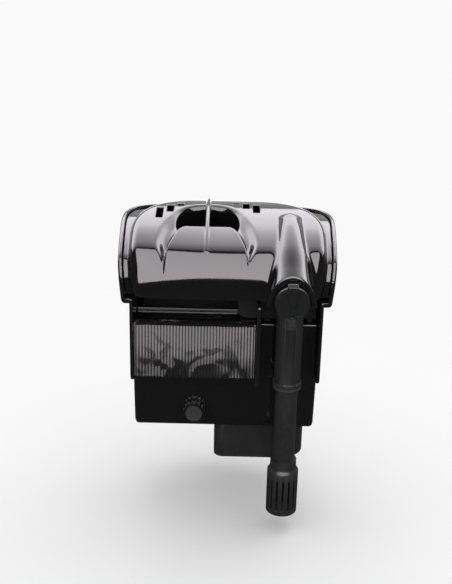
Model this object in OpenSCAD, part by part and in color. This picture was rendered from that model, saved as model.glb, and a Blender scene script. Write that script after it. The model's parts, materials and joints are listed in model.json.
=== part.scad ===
// Hang-on aquarium power filter.
// The box hangs outside the tank, its front apron and intake tube hang inside.
// X runs along the tank wall, Y points out of the tank, Z is up.
// The origin is the middle of the face that rests on top of the tank wall.

/* [Box] */
// Width of the box where the lid starts
box_w = 184; // [176:1:190]
// Gap for the tank wall between apron and box
slot_w = 20; // [18:1:22]
// Depth of the box, front wall to back wall
box_d = 80; // [78:1:86]
// How far the box hangs below the top of the tank wall
box_drop = 118; // [114:1:124]
// Wall thickness of the box
wall = 2.5; // [2:0.1:3]
// Height of the box rim above the top of the tank wall
rim_z = 30; // [28:1:31]
// How far the apron hangs down inside the tank
apron_drop = 52; // [46:1:56]
// Sideways lean of the walls above the rim, in mm per mm of height
flare = 0.1; // [0.08:0.005:0.12]

/* [Lid] */
// Width of the raised dome at the front
dome_w = 174; // [170:1:176]
// Thickness of the lid
lid_t = 2.2; // [1.8:0.1:2.6]
// Radius along the sides of the dome
dome_r = 14; // [12:1:15]
// Middle of the finger grip
grip_x = -19.5; // [-22:0.5:-17]
// Thickness of the grip fin
fin_t = 4.4; // [3.5:0.1:5.5]
// Radius of the arch over the intake
arch_r = 23; // [22.5:0.1:23.5]

/* [Intake] */
// Sideways place of the intake tube
tube_x = 58; // [57:0.5:59]
// Outer radius of the intake tube
tube_r = 12.5; // [12.3:0.1:12.7]
// Height of the elbow's axis
elbow_z = 39; // [38.5:0.5:39.5]
// Radius of the flow knob
knob_r = 15.5; // [15:0.1:16]
// Length of the sliding tube
extension_l = 120; // [110:1:130]

/* [Pump] */
// Distance of the impeller axis behind the origin
pump_y = 48; // [47:0.5:49]
// Number of impeller blades
blades = 6; // [4:1:8]

/* [Hidden] */
$fn = 64;
eps = 0.01;
gap = 0.05;             // running clearance between moving round parts

// Places that follow from the driving dimensions
box_y0 = slot_w / 2;                // outer face of the front wall
box_y1 = box_y0 + box_d;            // outer face of the back wall
apron_y = -slot_w / 2;              // face of the apron that lies on the glass
apron_t = 2.5;
mouth_y = -40;                      // in front of everything that the mouth cuts
cheek_y = apron_y - 20;             // front edge of the side cheeks
half_w = box_w / 2;
cheek_x = half_w - 3;               // outer face of the side cheeks
cheek_t = 3;
shelf_t = 3;                        // shelf that carries the lid
collar_t = 4;
collar_y1 = box_y1 + 6;
collar_w = half_w + 5.5;            // half width of the collar at the rim
collar_most = collar_w + 6.5;       // half width where the collar's lean ends
collar_z0 = rim_z - 6.5;            // lower edge of the collar
collar_r = 5;                       // radius along that edge
spill_z = 9;                        // overflow height of the front wall
floor_z = -box_drop + 3;            // inside of the box floor
bay_x = 28;                         // left face of the divider
bay_t = 4;
partition_x = 31.6;                 // wall between the media and the pump well
media_x0 = -84;                     // left and right end of the media
media_x1 = partition_x - 3;
cartridge_y = 56;
cartridge_t = 14;
media_h = 96;                       // height of the floss and the carbon
hook_z = -32.7;                     // top of the hook on the back wall
level_x = -30;                      // stud of the levelling wheel
level_z = -98;
black = [0.035, 0.035, 0.04];
dark_grey = [0.11, 0.115, 0.11];
rubber = [0.05, 0.05, 0.05];
steel = [0.72, 0.73, 0.75];

// ---------- outlines ----------

function arc(c, r, a0, a1, n = 8) =
    [for (i = [0:n]) let (a = a0 + (a1 - a0) * i / n) c + r * [cos(a), sin(a)]];

function bezier(p, n) =
    [for (i = [0:n]) let (t = i / n, s = 1 - t)
        s * s * s * p[0] + 3 * s * s * t * p[1] + 3 * s * t * t * p[2] + t * t * t * p[3]];

// Path moved sideways by d, to the right of its direction for d > 0
function beside(path, d) =
    [for (i = [0:len(path) - 1])
        let (a = path[max(i - 1, 0)], b = path[min(i + 1, len(path) - 1)], t = (b - a) / norm(b - a))
            path[i] + d * [t[1], -t[0]]];

function backwards(path) = [for (i = [len(path) - 1:-1:0]) path[i]];

// Plan with straight sides and a bowed back: a half superellipse behind ym, squarer for a larger bow
box_bow = 4.5;
collar_bow = 3.3;
dome_bow = 2.1;
function plan(w, y0, y1, bow, ym = box_y0 + 20, steps = 24) =
    concat([[w, y0]],
        [for (i = [0:steps]) let (a = 180 * i / steps)
            [w * sign(cos(a)) * pow(abs(cos(a)), 2 / bow), ym + (y1 - ym) * pow(sin(a), 2 / bow)]],
        [[-w, y0]]);

// Side view of the lid's surface, front edge first
lid_z0 = rim_z + shelf_t + 0.2;
crest = [60, 102.5];
shoulder = [-12, 79.5];
front_y = -35;
lid_line = concat(
    bezier([[front_y, lid_z0], [front_y - 0.5, 58], [-26.5, 71], shoulder], 8),
    [for (p = bezier([shoulder, [8, 91.3], [36, crest[1]], crest], 9)) if (p != shoulder) p],
    [for (p = bezier([crest, [74, crest[1]], [83, 99], [87, 93]], 5)) if (p != crest) p]
);

// Side view of the channel between the lid and the collar
channel_front = front_y + 13;
channel_line = concat(
    bezier([[channel_front, lid_z0], [channel_front - 0.5, 50], [-17, 61], [-5, 67.5]], 6),
    [for (p = bezier([[-5, 67.5], [12, 76.7], [38, 89], crest - [0, 13]], 8)) if (p[0] != -5) p],
    [for (p = bezier([crest - [0, 13], [72, 91], [86, 90.5], [100, 89]], 4)) if (p[0] != crest[0]) p]
);

// Side view of everything under a line moved inwards by d
function under_line(line, d, y1, z0) = let (top = beside(line, d))
    concat([[top[0][0], z0]], top, [[y1, top[len(top) - 1][1]], [y1, z0]]);

// Turns a side view (Y, Z) into a prism that runs along X
module along_x(x0, x1) {
    translate([x0, 0, 0]) rotate([90, 0, 90]) linear_extrude(x1 - x0) children();
}

// Turns a front view (X, Z) into a prism that runs along Y
module along_y(y0, y1) {
    translate([0, y1, 0]) rotate([90, 0, 0]) linear_extrude(y1 - y0) children();
}

module rounded_square(size, r) {
    translate([r, 0]) square([size[0] - 2 * r, size[1]]);
    translate([0, r]) square([size[0], size[1] - 2 * r]);
    for (x = [r, size[0] - r], y = [r, size[1] - r]) translate([x, y]) circle(r);
}

// A tube about Z from z0 to z1
module ring(r_out, r_in, z0, z1) {
    translate([0, 0, z0]) difference() {
        cylinder(r = r_out, h = z1 - z0);
        translate([0, 0, -eps]) cylinder(r = r_in, h = z1 - z0 + 2 * eps);
    }
}

// Places children, drawn about Z, on an axis along -Y
module facing_front(x, y, z) {
    translate([x, y, z]) rotate([90, 0, 0]) children();
}

// ---------- case ----------

draft = tan(1);
corner_r = 7;

// The box below the rim, moved inwards by d on all faces
module box_block(d, z0, z1) {
    bottom = -box_drop;
    low_w = half_w - (rim_z - bottom) * draft;
    low_y = box_y1 - (rim_z - bottom) * draft;
    intersection() {
        translate([0, 0, z0]) linear_extrude(z1 - z0)
            polygon(plan(half_w - d, box_y0 + d, box_y1 - d, box_bow));
        along_y(0, box_y1 + 10) polygon(concat(
            [[half_w - d, rim_z + 10], [-half_w + d, rim_z + 10]],
            arc([-low_w + corner_r, bottom + corner_r], corner_r - d, 180, 270, 6),
            arc([low_w - corner_r, bottom + corner_r], corner_r - d, 270, 360, 6)));
        along_x(-half_w, half_w) polygon(concat(
            [[box_y0 + d, rim_z + 10], [box_y0 + d, bottom + d]],
            arc([low_y - corner_r, bottom + corner_r], corner_r - d, 270, 360, 6),
            [[box_y1 - d, rim_z + 10]]));
    }
}

// The flared collar round the lid, moved inwards by d, up to line_d below the channel
module collar_block(d, z0, line_d) {
    top = 110;
    y0 = -56;
    side_x = collar_w - collar_r;
    intersection() {
        translate([0, 0, z0]) linear_extrude(top - z0)
            polygon(plan(collar_most - d, y0, collar_y1 - d, collar_bow));
        along_y(y0, collar_y1) polygon(concat(
            [[collar_w - d + (top - rim_z) * flare, top], [-collar_w + d - (top - rim_z) * flare, top]],
            arc([-side_x, collar_z0 + collar_r], collar_r - d, 180, 270, 5),
            arc([side_x, collar_z0 + collar_r], collar_r - d, 270, 360, 5)));
        along_x(-120, 120) polygon(under_line(channel_line, line_d, collar_y1, z0 - 1));
    }
}

// Side cheeks, saddle and back plate of the apron that hangs in the tank
module apron() {
    cheek = concat([[box_y0 + wall, rim_z + eps], [cheek_y + 2, rim_z + eps]],
        arc([cheek_y + 2, rim_z - 6], 2, 90, 180, 4),
        arc([cheek_y + 8, -apron_drop + 8], 8, 180, 270, 6),
        [[apron_y, -apron_drop], [apron_y, 0], [box_y0 + wall, 0]]);
    for (x = [-cheek_x, cheek_x - cheek_t]) along_x(x, x + cheek_t) polygon(cheek);
    along_x(-cheek_x + 1, cheek_x - 1) polygon([
        [box_y0 + 1, 0], [box_y0 + 1, 3], [apron_y - apron_t, 3], [apron_y - apron_t, -apron_drop],
        [apron_y, -apron_drop], [apron_y, 0]]);
    // divider between the spillway and the intake bay
    along_x(bay_x, bay_x + bay_t) polygon(concat(
        [[apron_y - 1, -2], [apron_y - 1, rim_z - 2]],
        arc([cheek_y - 6, rim_z - 4], 2, 90, 180, 4),
        arc([cheek_y - 2, -apron_drop + 6], 6, 180, 270, 6),
        [[apron_y - 1, -apron_drop]]));
}

module pump_screw_places() {
    for (a = [100, 280]) translate([tube_x + 29 * cos(a), pump_y + 29 * sin(a), 0]) children();
}

module filter_case() color(black) {
    difference() {
        union() {
            difference() {
                union() {
                    box_block(0, -box_drop, rim_z + eps);
                    collar_block(0, collar_z0, -2.5);
                }
                collar_block(collar_t, rim_z + shelf_t, -12);
                box_block(wall, floor_z, rim_z + shelf_t + 1);
                // the front end of the collar and the mouth above the spillway are open
                translate([-cheek_x + cheek_t, mouth_y, spill_z])
                    cube([2 * (cheek_x - cheek_t), box_y0 + wall + 1 - mouth_y, 60]);
                // the shelf is lower at its front end
                translate([-120, mouth_y, rim_z - 1]) cube([240, cheek_y + 20 - mouth_y, shelf_t + 2]);
                // nothing hangs under the collar in front of the box but the cheeks
                translate([-cheek_x + cheek_t, mouth_y, collar_z0 - 1])
                    cube([2 * (cheek_x - cheek_t), box_y0 - mouth_y, rim_z - collar_z0 + 3]);
            }
            apron();
            // wall behind the intake bay, up to the elbow
            translate([bay_x, box_y0, 0]) cube([half_w - bay_x - 1, wall, 22]);
            // partition between the pump well and the media chamber
            translate([partition_x, box_y0 + 1, floor_z - 1]) cube([2, 63, 119]);
            // guides for the filter cartridge
            for (y = [cartridge_y - 2.2, cartridge_y + cartridge_t + 0.2]) {
                intersection() {
                    box_block(wall / 2, floor_z - 1, rim_z);
                    translate([-half_w, y, floor_z - 1]) cube([half_w + media_x0 + 2, 2, 112]);
                }
                translate([media_x1 - 1, y, floor_z - 1]) cube([4, 2, 112]);
            }
            pump_screw_places() translate([0, 0, floor_z - 1]) cylinder(r = 4.2, h = 8);
            // hook that carries the coiled cord
            translate([-8, box_y1 - 4, hook_z - 4]) cube([16, 19, 4]);
            translate([-8, box_y1 + 12, hook_z - 4]) cube([16, 3, 9]);
            // stud of the levelling wheel
            facing_front(level_x, box_y0 + 1, level_z) cylinder(r = 4, h = 8.6);
            facing_front(level_x, box_y0 + 1, level_z) cylinder(r = 7, h = 1.6);
        }
        translate([tube_x, pump_y, -box_drop - 1]) cylinder(r = 21, h = 6);
        pump_screw_places() translate([0, 0, -box_drop - 1]) cylinder(r = 1.52, h = 10);
        // passages through the partition
        for (z = [-100:18:-20]) translate([partition_x - 1, 24, z]) cube([4, 22, 8]);
    }
}

// Ribbed panel that the water runs down
module spillway_panel() {
    x0 = -cheek_x + cheek_t + 0.4;
    x1 = bay_x - 0.4;
    rib_h = 0.9;
    pitch = 2.9;
    lip_z = 5.7;
    hook_y = apron_y - apron_t - 0.1;
    face = concat([[box_y0 - 0.3, lip_z], [apron_y - 2, lip_z]],
        bezier([[apron_y - 4, lip_z - 0.1], [-18.5, 5], [-20, 1], [-20.5, -5]], 5),
        [[-22.2, -27], [-24.5, -apron_drop + 3]]);
    color(black) {
        along_x(x0, x1) polygon(concat(face, backwards(beside(face, -2.4))));
        for (x = [x0 + 2:pitch:x1 - 2]) along_x(x, x + 1.3)
            polygon(concat(beside(face, rib_h), backwards(beside(face, -0.4))));
        // hooks on the back that clip over the apron
        for (x = [x0 + 8, (x0 + x1) / 2, x1 - 14]) along_x(x, x + 6)
            polygon([[-20, -20], [hook_y, -20], [hook_y, -26], [-20.4, -26]]);
    }
}

// ---------- lid ----------

dome_y1 = box_y1 - 12;              // back of the dome
skirt_y = 36;                       // behind this the dome's walls end higher up
skirt_z = 74;

// The dome, moved inwards by d, on a plan with rounded front corners
module dome_block(d) {
    w = dome_w / 2;
    top = 112;
    top_w = w + (top - lid_z0) * flare;
    intersection() {
        translate([0, 0, lid_z0 - d]) linear_extrude(90) intersection() {
            polygon(plan(w + 6 - d, -60, dome_y1 - d, dome_bow, 8));
            translate([-w - 8 + d, front_y + d]) rounded_square([2 * (w + 8 - d), 160], 9);
        }
        along_y(-60, box_y1) polygon(concat(
            [[w - d, lid_z0 - 1], [w - d + 50 * flare, lid_z0 + 50]],
            arc([top_w - d - dome_r, crest[1] - dome_r], dome_r - d, 0, 90, 6),
            arc([-top_w + d + dome_r, crest[1] - dome_r], dome_r - d, 90, 180, 6),
            [[-w + d - 50 * flare, lid_z0 + 50], [-w + d, lid_z0 - 1]]));
        along_x(-120, 120) polygon(under_line(lid_line, d, box_y1, lid_z0 - 1));
    }
}

// Closed solid through rings of points that all have the same length
module loft(rings) {
    n = len(rings);
    m = len(rings[0]);
    faces = concat(
        [[for (k = [m - 1:-1:0]) k]],
        [for (i = [0:n - 2], k = [0:m - 1]) let (j = (k + 1) % m)
            each [[i * m + k, i * m + j, (i + 1) * m + k], [(i + 1) * m + k, i * m + j, (i + 1) * m + j]]],
        [[for (k = [0:m - 1]) (n - 1) * m + k]]);
    polyhedron([for (ring = rings) each ring], faces);
}

// Hood over the elbow: an arch at the front that narrows to a round finger end on top of the dome.
// Moved inwards by d, and by lip at the front face.
hood_end = [22, 89.6];              // middle of the round end
hood_end_r = 11.7;
hood_line = bezier([[-50, elbow_z + arch_r], [-34, 73], [-4, 93], hood_end + [0, hood_end_r]], 9);
hood_side = bezier([[-50, arch_r], [-44, 15], [-8, 18], [hood_end[0], hood_end_r]], 9);
hood_rings = concat(
    [for (i = [0:len(hood_line) - 1]) [hood_line[i][0], hood_side[i][1], hood_line[i][1]]],
    [for (a = [30, 60, 80]) let (r = hood_end_r * cos(a))
        [hood_end[0] + hood_end_r * sin(a), r, hood_end[1] + r]]);

module hood_block(d, lip, z0) {
    loft([for (i = [0:len(hood_rings) - 1])
        let (ring = hood_rings[i], edge = min(i == 0 ? lip : d, ring[1] - 0.5),
            y = ring[0] - (i == 0 ? d : 0), r = ring[1] - edge, top = ring[2] - edge)
            [for (p = concat([[r, z0]], arc([0, top - r], r, 0, 180, 12), [[-r, z0]]))
                [tube_x + p[0], y, p[1]]]]);
}

// Finger pocket behind the front pad, grown by d: wide, round at the back and flat at the front
pocket_w = 31;
pocket_y = 25;                      // where the pocket is widest
pocket_back = 22;                   // reach behind that line
pocket_front = 5;                   // reach in front of it
pocket_floor = 79;

module grip_pocket(d) {
    n = 20;
    translate([grip_x, pocket_y, pocket_floor - d]) linear_extrude(60) polygon([for (i = [0:n - 1])
        let (a = 360 * i / n, reach = sin(a) > 0 ? pocket_back : pocket_front)
            [(pocket_w + d) * cos(a), (reach + d) * sin(a)]]);
}

// Grooves that run from the pocket to the front on both sides, grown by d
module grip_grooves(d) {
    for (side = [-1, 1]) translate([grip_x + side * 41, -24, 74.5]) rotate([-65, 0, side * 10])
        cylinder(r = 6.5 + d, h = 54);
}

// Flange that fills the channel between the dome and the collar
module lid_flange() {
    intersection() {
        along_x(-120, 120) polygon(concat(channel_line, backwards(beside(channel_line, 2.5))));
        difference() {
            collar_block(collar_t + 0.5, lid_z0, -3);
            dome_block(1);
        }
    }
}

// Vents on both sides of the grip
vent_x = 26.5;                      // first vent, from the grip's middle
vent_pitch = 9.8;
vent_w = 6.2;

module lid() color(black) {
    fin_line = [for (p = lid_line) if (p[0] > -19 && p[0] < 62) p];
    difference() {
        union() {
            difference() {
                dome_block(0);
                grip_pocket(0);
                grip_grooves(0);
            }
            hood_block(0, 0, lid_z0);
        }
        difference() {
            dome_block(lid_t);
            grip_pocket(lid_t);
            grip_grooves(lid_t);
        }
        hood_block(2.7, 4, lid_z0 - 20);
        translate([-120, skirt_y, lid_z0 - 1]) cube([240, 80, skirt_z - lid_z0 + 1]);
        for (side = [-1, 1], i = [0:2])
            translate([grip_x + side * (vent_x + vent_pitch * i) - vent_w / 2, 58 - 6 * i, 70])
                cube([vent_w, 12, 60]);
    }
    lid_flange();
    // fin across the finger pocket
    along_x(grip_x - fin_t / 2, grip_x + fin_t / 2)
        polygon(concat(beside(fin_line, 0.4), backwards(beside(fin_line, 14))));
}

// ---------- intake ----------

chamber_y0 = -50;
chamber_y1 = -20;
chamber_r = 14.2;
chamber_bore = 12;
leg_r = 12.5;
leg_bore = 10.5;
bend_r = pump_y - 23;
stub_z = 8;

module bend(r) {
    translate([tube_x, pump_y - bend_r, elbow_z - bend_r]) rotate([90, 0, 90])
        rotate_extrude(angle = 90) translate([bend_r, 0]) circle(r);
}

// The elbow carries water from the front tube over the tank wall to the pump
module elbow_solid(r_chamber, r_leg, r_stub, extra) {
    facing_front(tube_x, chamber_y1 + (extra > 0 ? -3 : 0), elbow_z)
        cylinder(r = r_chamber, h = chamber_y1 - chamber_y0 - (extra > 0 ? 3 : 0) + extra);
    facing_front(tube_x, pump_y - bend_r, elbow_z) cylinder(r = r_leg, h = pump_y - bend_r - chamber_y1 + 4);
    bend(r_leg);
    translate([tube_x, pump_y, -93 - extra]) cylinder(r = r_leg, h = 93 + extra + elbow_z - bend_r);
    translate([tube_x, -35, stub_z - extra]) cylinder(r = r_stub, h = elbow_z - stub_z + extra);
}

module intake_elbow() color(dark_grey) {
    difference() {
        union() {
            elbow_solid(chamber_r, leg_r, 10.5, 0);
            translate([tube_x, -35, 22]) cylinder(r = tube_r, h = 6);
        }
        elbow_solid(chamber_bore, leg_bore, 8.6, 1);
    }
}

module flow_knob() color(dark_grey) {
    difference() {
        union() {
            facing_front(tube_x, -50.3, elbow_z) cylinder(r = knob_r, h = 5.2);
            facing_front(tube_x, -55.4, elbow_z) cylinder(r1 = knob_r, r2 = knob_r - 1.5, h = 1.6);
            // plug that closes the elbow
            facing_front(tube_x, -42, elbow_z) cylinder(r = chamber_bore - gap, h = 8.4);
            // pointer, with a thumb tab past the rim
            along_y(-60, -56) polygon([
                [tube_x - 4.8, elbow_z + knob_r + 2.8], [tube_x + 4.8, elbow_z + knob_r + 2.8],
                [tube_x + 0.8, elbow_z - 11], [tube_x - 0.8, elbow_z - 11]]);
            along_y(-57, -55) polygon([
                [tube_x - 4.8, elbow_z + knob_r + 2.8], [tube_x + 4.8, elbow_z + knob_r + 2.8],
                [tube_x + 3, elbow_z + 4], [tube_x - 3, elbow_z + 4]]);
        }
        // groove of the O-ring
        facing_front(tube_x, -44.5, elbow_z) ring(14, chamber_bore - 2.2, 0, 2.6);
        // seat of the shutter
        facing_front(tube_x, -41, elbow_z) ring(20, chamber_bore - 1.8, 0, 2.5);
    }
}

// Curved gate that turns with the knob and covers the lower port
module valve_shutter() color(dark_grey) {
    facing_front(tube_x, -24, elbow_z) rotate([0, 0, 20])
        rotate_extrude(angle = 140) translate([chamber_bore - 1.75, 0]) square([1.75 - gap, 19.4]);
}

module knob_o_ring() color(rubber) {
    facing_front(tube_x, -45.8, elbow_z) rotate_extrude() translate([chamber_bore - 1.1, 0]) circle(1.05);
}

// Cradle that holds the elbow on the saddle
module tube_bracket() color(dark_grey) {
    y0 = -9;
    y1 = 7;
    difference() {
        along_y(y0, y1) polygon(concat(
            [[cheek_x - cheek_t - 1, rim_z + 1.5], [10.6, rim_z + 1.5]],
            arc([19.6, 15.9], 9, 180, 270, 8),
            [[cheek_x - cheek_t - 1, 6.9]]));
        facing_front(tube_x, y1 + 1, elbow_z) cylinder(r = leg_r + 0.1, h = y1 - y0 + 2);
        for (x = [32, 72]) translate([x, y0 + 3, 10]) cube([10, y1 - y0 - 6, 30]);
    }
    // feet on the saddle
    for (x = [36, 76]) translate([x, y0 + 2, 3.1]) cube([6, y1 - y0 - 4, 4]);
}

module intake_tube() color(dark_grey) {
    translate([tube_x, -35, 0]) {
        ring(tube_r, ext_r + 0.08, -48, 21.9);
        ring(tube_r + 1.1, tube_r - 0.5, -48, -44);
    }
    // moulded index pad under the knob
    translate([tube_x - 3.5, -35 - tube_r - 0.6, 10.8]) cube([8.5, 2, 4.6]);
}

ext_z1 = -20;
ext_z0 = ext_z1 - extension_l;
ext_r = 10.5;

module extension_tube() color(dark_grey) translate([tube_x, -35, 0]) {
    ring(ext_r, 8.6, ext_z0, ext_z1);
}

// Rubber lip that grips the sliding tube
module tube_seal() color(rubber) {
    translate([tube_x, -35, 0]) ring(tube_r + 0.6, ext_r + gap, -51, -48.05);
}

module strainer() color(dark_grey) {
    r = 15;
    z1 = ext_z0 + 14;
    z0 = ext_z0 - 42;
    translate([tube_x, -35, 0]) difference() {
        union() {
            translate([0, 0, z0]) cylinder(r = r, h = 44);
            translate([0, 0, z0 + 44]) cylinder(r1 = r, r2 = ext_r + 2, h = 4);
            translate([0, 0, z0 + 48]) cylinder(r = ext_r + 2, h = z1 - z0 - 48);
        }
        translate([0, 0, ext_z0]) cylinder(r = ext_r + 0.02, h = 30);
        translate([0, 0, z0 + 2]) cylinder(r = r - 2, h = 39);
        translate([0, 0, z0 + 40]) cylinder(r = 8.6, h = 20);
        for (i = [0:15]) rotate([0, 0, i * 22.5]) translate([r - 5, -1, z0 + 6]) cube([10, 2, 31]);
    }
}

// ---------- pump ----------

module at_pump() {
    translate([tube_x, pump_y, 0]) children();
}

impeller_z = floor_z + 3;

module impeller_cover() color(dark_grey) at_pump() {
    top = floor_z + 20;
    difference() {
        union() {
            ring(24, 22, floor_z + gap, top);
            translate([0, 0, top - 2]) cylinder(r = 24, h = 2);
            ring(15, leg_r + 0.02, top - eps, top + 14);
        }
        difference() {
            translate([0, 0, top - 3]) cylinder(r = 9, h = 5);
            for (a = [0, 120, 240]) rotate([0, 0, a]) translate([0, -1.2, top - 2]) cube([12, 2.4, 2]);
            translate([0, 0, top - 2]) cylinder(r = 5.5, h = 2);
        }
        translate([0, 0, top - 3]) cylinder(r = 4.02, h = 5);
        // outlet of the volute
        translate([-30, 4, floor_z + 2]) cube([16, 16, 12]);
    }
}

module impeller() color([0.85, 0.86, 0.87]) at_pump() {
    difference() {
        union() {
            translate([0, 0, impeller_z]) cylinder(r = 5, h = 12);
            translate([0, 0, impeller_z]) cylinder(r = 17, h = 1.2);
            for (i = [0:blades - 1]) rotate([0, 0, i * 360 / blades])
                translate([4, -0.6, impeller_z]) cube([13.5, 1.2, 9]);
            translate([0, 0, impeller_z - 4]) cylinder(r = 5, h = 5);
        }
        translate([0, 0, impeller_z - 5]) cylinder(r = 1.6 + gap, h = 30);
    }
}

module rotor_magnet() color([0.12, 0.12, 0.13]) at_pump() {
    ring(9.4, 1.6 + gap, impeller_z - 34, impeller_z - 4.02);
}

module rotor_shaft() color(steel) at_pump() {
    translate([0, 0, -153.4]) cylinder(r = 1.6, h = 153.4 - 96);
}

module lower_bush() color(rubber) at_pump() {
    ring(10, 1.62, -153.5, -150);
}

module upper_bush() color(rubber) at_pump() {
    ring(4, 1.62, floor_z + 15.5, floor_z + 20);
}

motor_z0 = -156;

// Plan of the motor: round at the rotor, long at the coils
module motor_plan(d) {
    translate([tube_x, pump_y]) circle(25 - d);
    translate([-10 + d, pump_y - 25 + d]) rounded_square([tube_x + 10 - 2 * d, 50 - 2 * d], 10 - d);
}

module motor_housing() color(black) {
    difference() {
        union() {
            difference() {
                union() {
                    translate([0, 0, motor_z0]) linear_extrude(34.5) motor_plan(0);
                    at_pump() translate([0, 0, -box_drop - 4]) cylinder(r = 27, h = 4 - gap);
                    pump_screw_places() translate([0, 0, -box_drop - 4]) cylinder(r = 4.6, h = 4 - gap);
                    at_pump() translate([0, 0, -box_drop - 1]) cylinder(r = 20.9, h = 3.9);
                }
                translate([0, 0, motor_z0 - 1]) linear_extrude(32.5) motor_plan(2.5);
            }
            at_pump() translate([0, 0, motor_z0 + 1]) cylinder(r = 12, h = 36);
        }
        at_pump() translate([0, 0, -153.5]) cylinder(r = 10.05, h = 50);
        at_pump() ring(25.8, 22.2, -box_drop - 2.6, -box_drop + 1);
        pump_screw_places() translate([0, 0, -box_drop - 5]) cylinder(r = 1.8, h = 8);
        facing_front(cord_x, pump_y + 30, cord_z) cylinder(r = 4.5, h = 9);
    }
}

module motor_base() color(black) {
    difference() {
        union() {
            translate([0, 0, motor_z0 - 3]) linear_extrude(2.95) motor_plan(0);
            translate([0, 0, motor_z0 - 1]) linear_extrude(3) motor_plan(2.6);
        }
        translate([0, 0, motor_z0]) linear_extrude(5) motor_plan(4.6);
        at_pump() translate([0, 0, motor_z0 - 0.5]) cylinder(r = 12.2, h = 5);
    }
}

module motor_o_ring() color(rubber) at_pump() {
    translate([0, 0, -box_drop - 1.3]) rotate_extrude() translate([24, 0]) circle(1.25);
}

// Two self-tapping screws with cross recesses
screw_head = -box_drop - 6.5;

module motor_screws() color(steel) {
    pump_screw_places() difference() {
        union() {
            translate([0, 0, screw_head]) cylinder(r = 3, h = 2.4);
            translate([0, 0, screw_head + 1.5]) cylinder(r = 1.5, h = 12);
        }
        for (turn = [0, 90]) rotate([0, 0, turn]) translate([-2, -0.4, screw_head - 1]) cube([4, 0.8, 2.2]);
    }
}

// U-shaped lamination stack with the rotor between its legs
module stator_core() color(steel) {
    translate([0, 0, -146]) linear_extrude(16) difference() {
        translate([-5, pump_y - 19]) square([tube_x + 15, 38]);
        translate([3, pump_y - 11]) square([tube_x - 16, 22]);
        translate([tube_x, pump_y]) circle(12.3);
        translate([tube_x, pump_y - 4]) square([20, 8]);
    }
}

module stator_coils() color([0.72, 0.38, 0.16]) {
    for (side = [-1, 1]) translate([8, pump_y + side * 15, -138]) rotate([0, 90, 0]) difference() {
        translate([-12, -6.8, 0]) cube([24, 13.6, 30]);
        translate([-8.1, -4.1, -1]) cube([16.2, 8.2, 32]);
    }
}

// ---------- cord ----------

cord_r = 2.9;
cord_x = 20;                        // where the cord leaves the motor
cord_z = -140;
coil_c = [0, box_y1 + 8, -69];
coil_r0 = 39;
coil_r1 = 57;

function spiral_point(t) =
    let (a = -90 + t * 990, r = coil_r1 + (coil_r0 - coil_r1) * t)
        coil_c + r * [cos(a), 0, sin(a)];

cord_path = concat(
    [[cord_x, pump_y + 28, cord_z]],
    bezier([[cord_x, pump_y + 37, cord_z], [cord_x, coil_c[1] + 14, cord_z],
        [-36, coil_c[1], -124], spiral_point(0)], 14),
    [for (i = [1:66]) spiral_point(i / 66)],
    [for (p = bezier([spiral_point(1), spiral_point(1) - [0, 0, 20],
        coil_c - [32, 0, 2], coil_c - [16, 0, 0]], 9)) if (p != spiral_point(1)) p]
);

// Sweeps a round section along a path that stays near one plane across Y
module sweep_cord(path, r, sides = 8) {
    n = len(path);
    points = [for (i = [0:n - 1])
        let (a = path[max(i - 1, 0)], b = path[min(i + 1, n - 1)], t = (b - a) / norm(b - a),
            u0 = abs(t[1]) > 0.9 ? [0, 0, 1] : [0, 1, 0],
            u1 = u0 - (u0 * t) * t, u = u1 / norm(u1), v = cross(t, u))
            for (k = [0:sides - 1]) let (q = 360 * k / sides) path[i] + r * (cos(q) * u + sin(q) * v)];
    faces = concat(
        [[for (k = [sides - 1:-1:0]) k]],
        [for (i = [0:n - 2], k = [0:sides - 1]) let (m = (k + 1) % sides)
            each [[i * sides + k, i * sides + m, (i + 1) * sides + m],
                [i * sides + k, (i + 1) * sides + m, (i + 1) * sides + k]]],
        [[for (k = [0:sides - 1]) (n - 1) * sides + k]]);
    polyhedron(points, faces);
}

module power_cord() color(rubber) sweep_cord(cord_path, cord_r);

module strain_relief() color(rubber) {
    translate([cord_x, pump_y + 22.1, cord_z]) rotate([-90, 0, 0]) difference() {
        union() {
            cylinder(r = 4.4, h = 6);
            translate([0, 0, 4]) cylinder(r1 = 6, r2 = 4.6, h = 9);
        }
        translate([0, 0, -1]) cylinder(r = cord_r + 0.15, h = 20);
    }
}

// Strap that holds the turns of the cord together
module cord_tie() color([0.16, 0.16, 0.17]) {
    x0 = coil_r0 - 4;
    translate([x0, coil_c[1] - 5, coil_c[2] - 5]) difference() {
        cube([coil_r1 - coil_r0 + 8.5, 10, 10]);
        translate([1.3, 1.3, -1]) cube([coil_r1 - coil_r0 + 5.9, 7.4, 12]);
    }
}

module plug_body() color(rubber) {
    translate([coil_c[0], coil_c[1] + 7, coil_c[2]]) rotate([90, 0, 0]) linear_extrude(14) polygon(concat(
        arc([-13, 0], 5.5, 120, 240, 4),
        arc([9, -12], 4, 270, 360, 4),
        arc([9, 12], 4, 0, 90, 4)));
}

module plug_pins() color([0.8, 0.76, 0.62]) {
    for (z = [-9.3, 9.3]) translate([coil_c[0] + 13.02, coil_c[1], coil_c[2] + z]) rotate([0, 90, 0]) {
        cylinder(r = 2, h = 17);
        translate([0, 0, 17]) cylinder(r1 = 2, r2 = 1.2, h = 2);
    }
}

// ---------- filter media ----------

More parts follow.
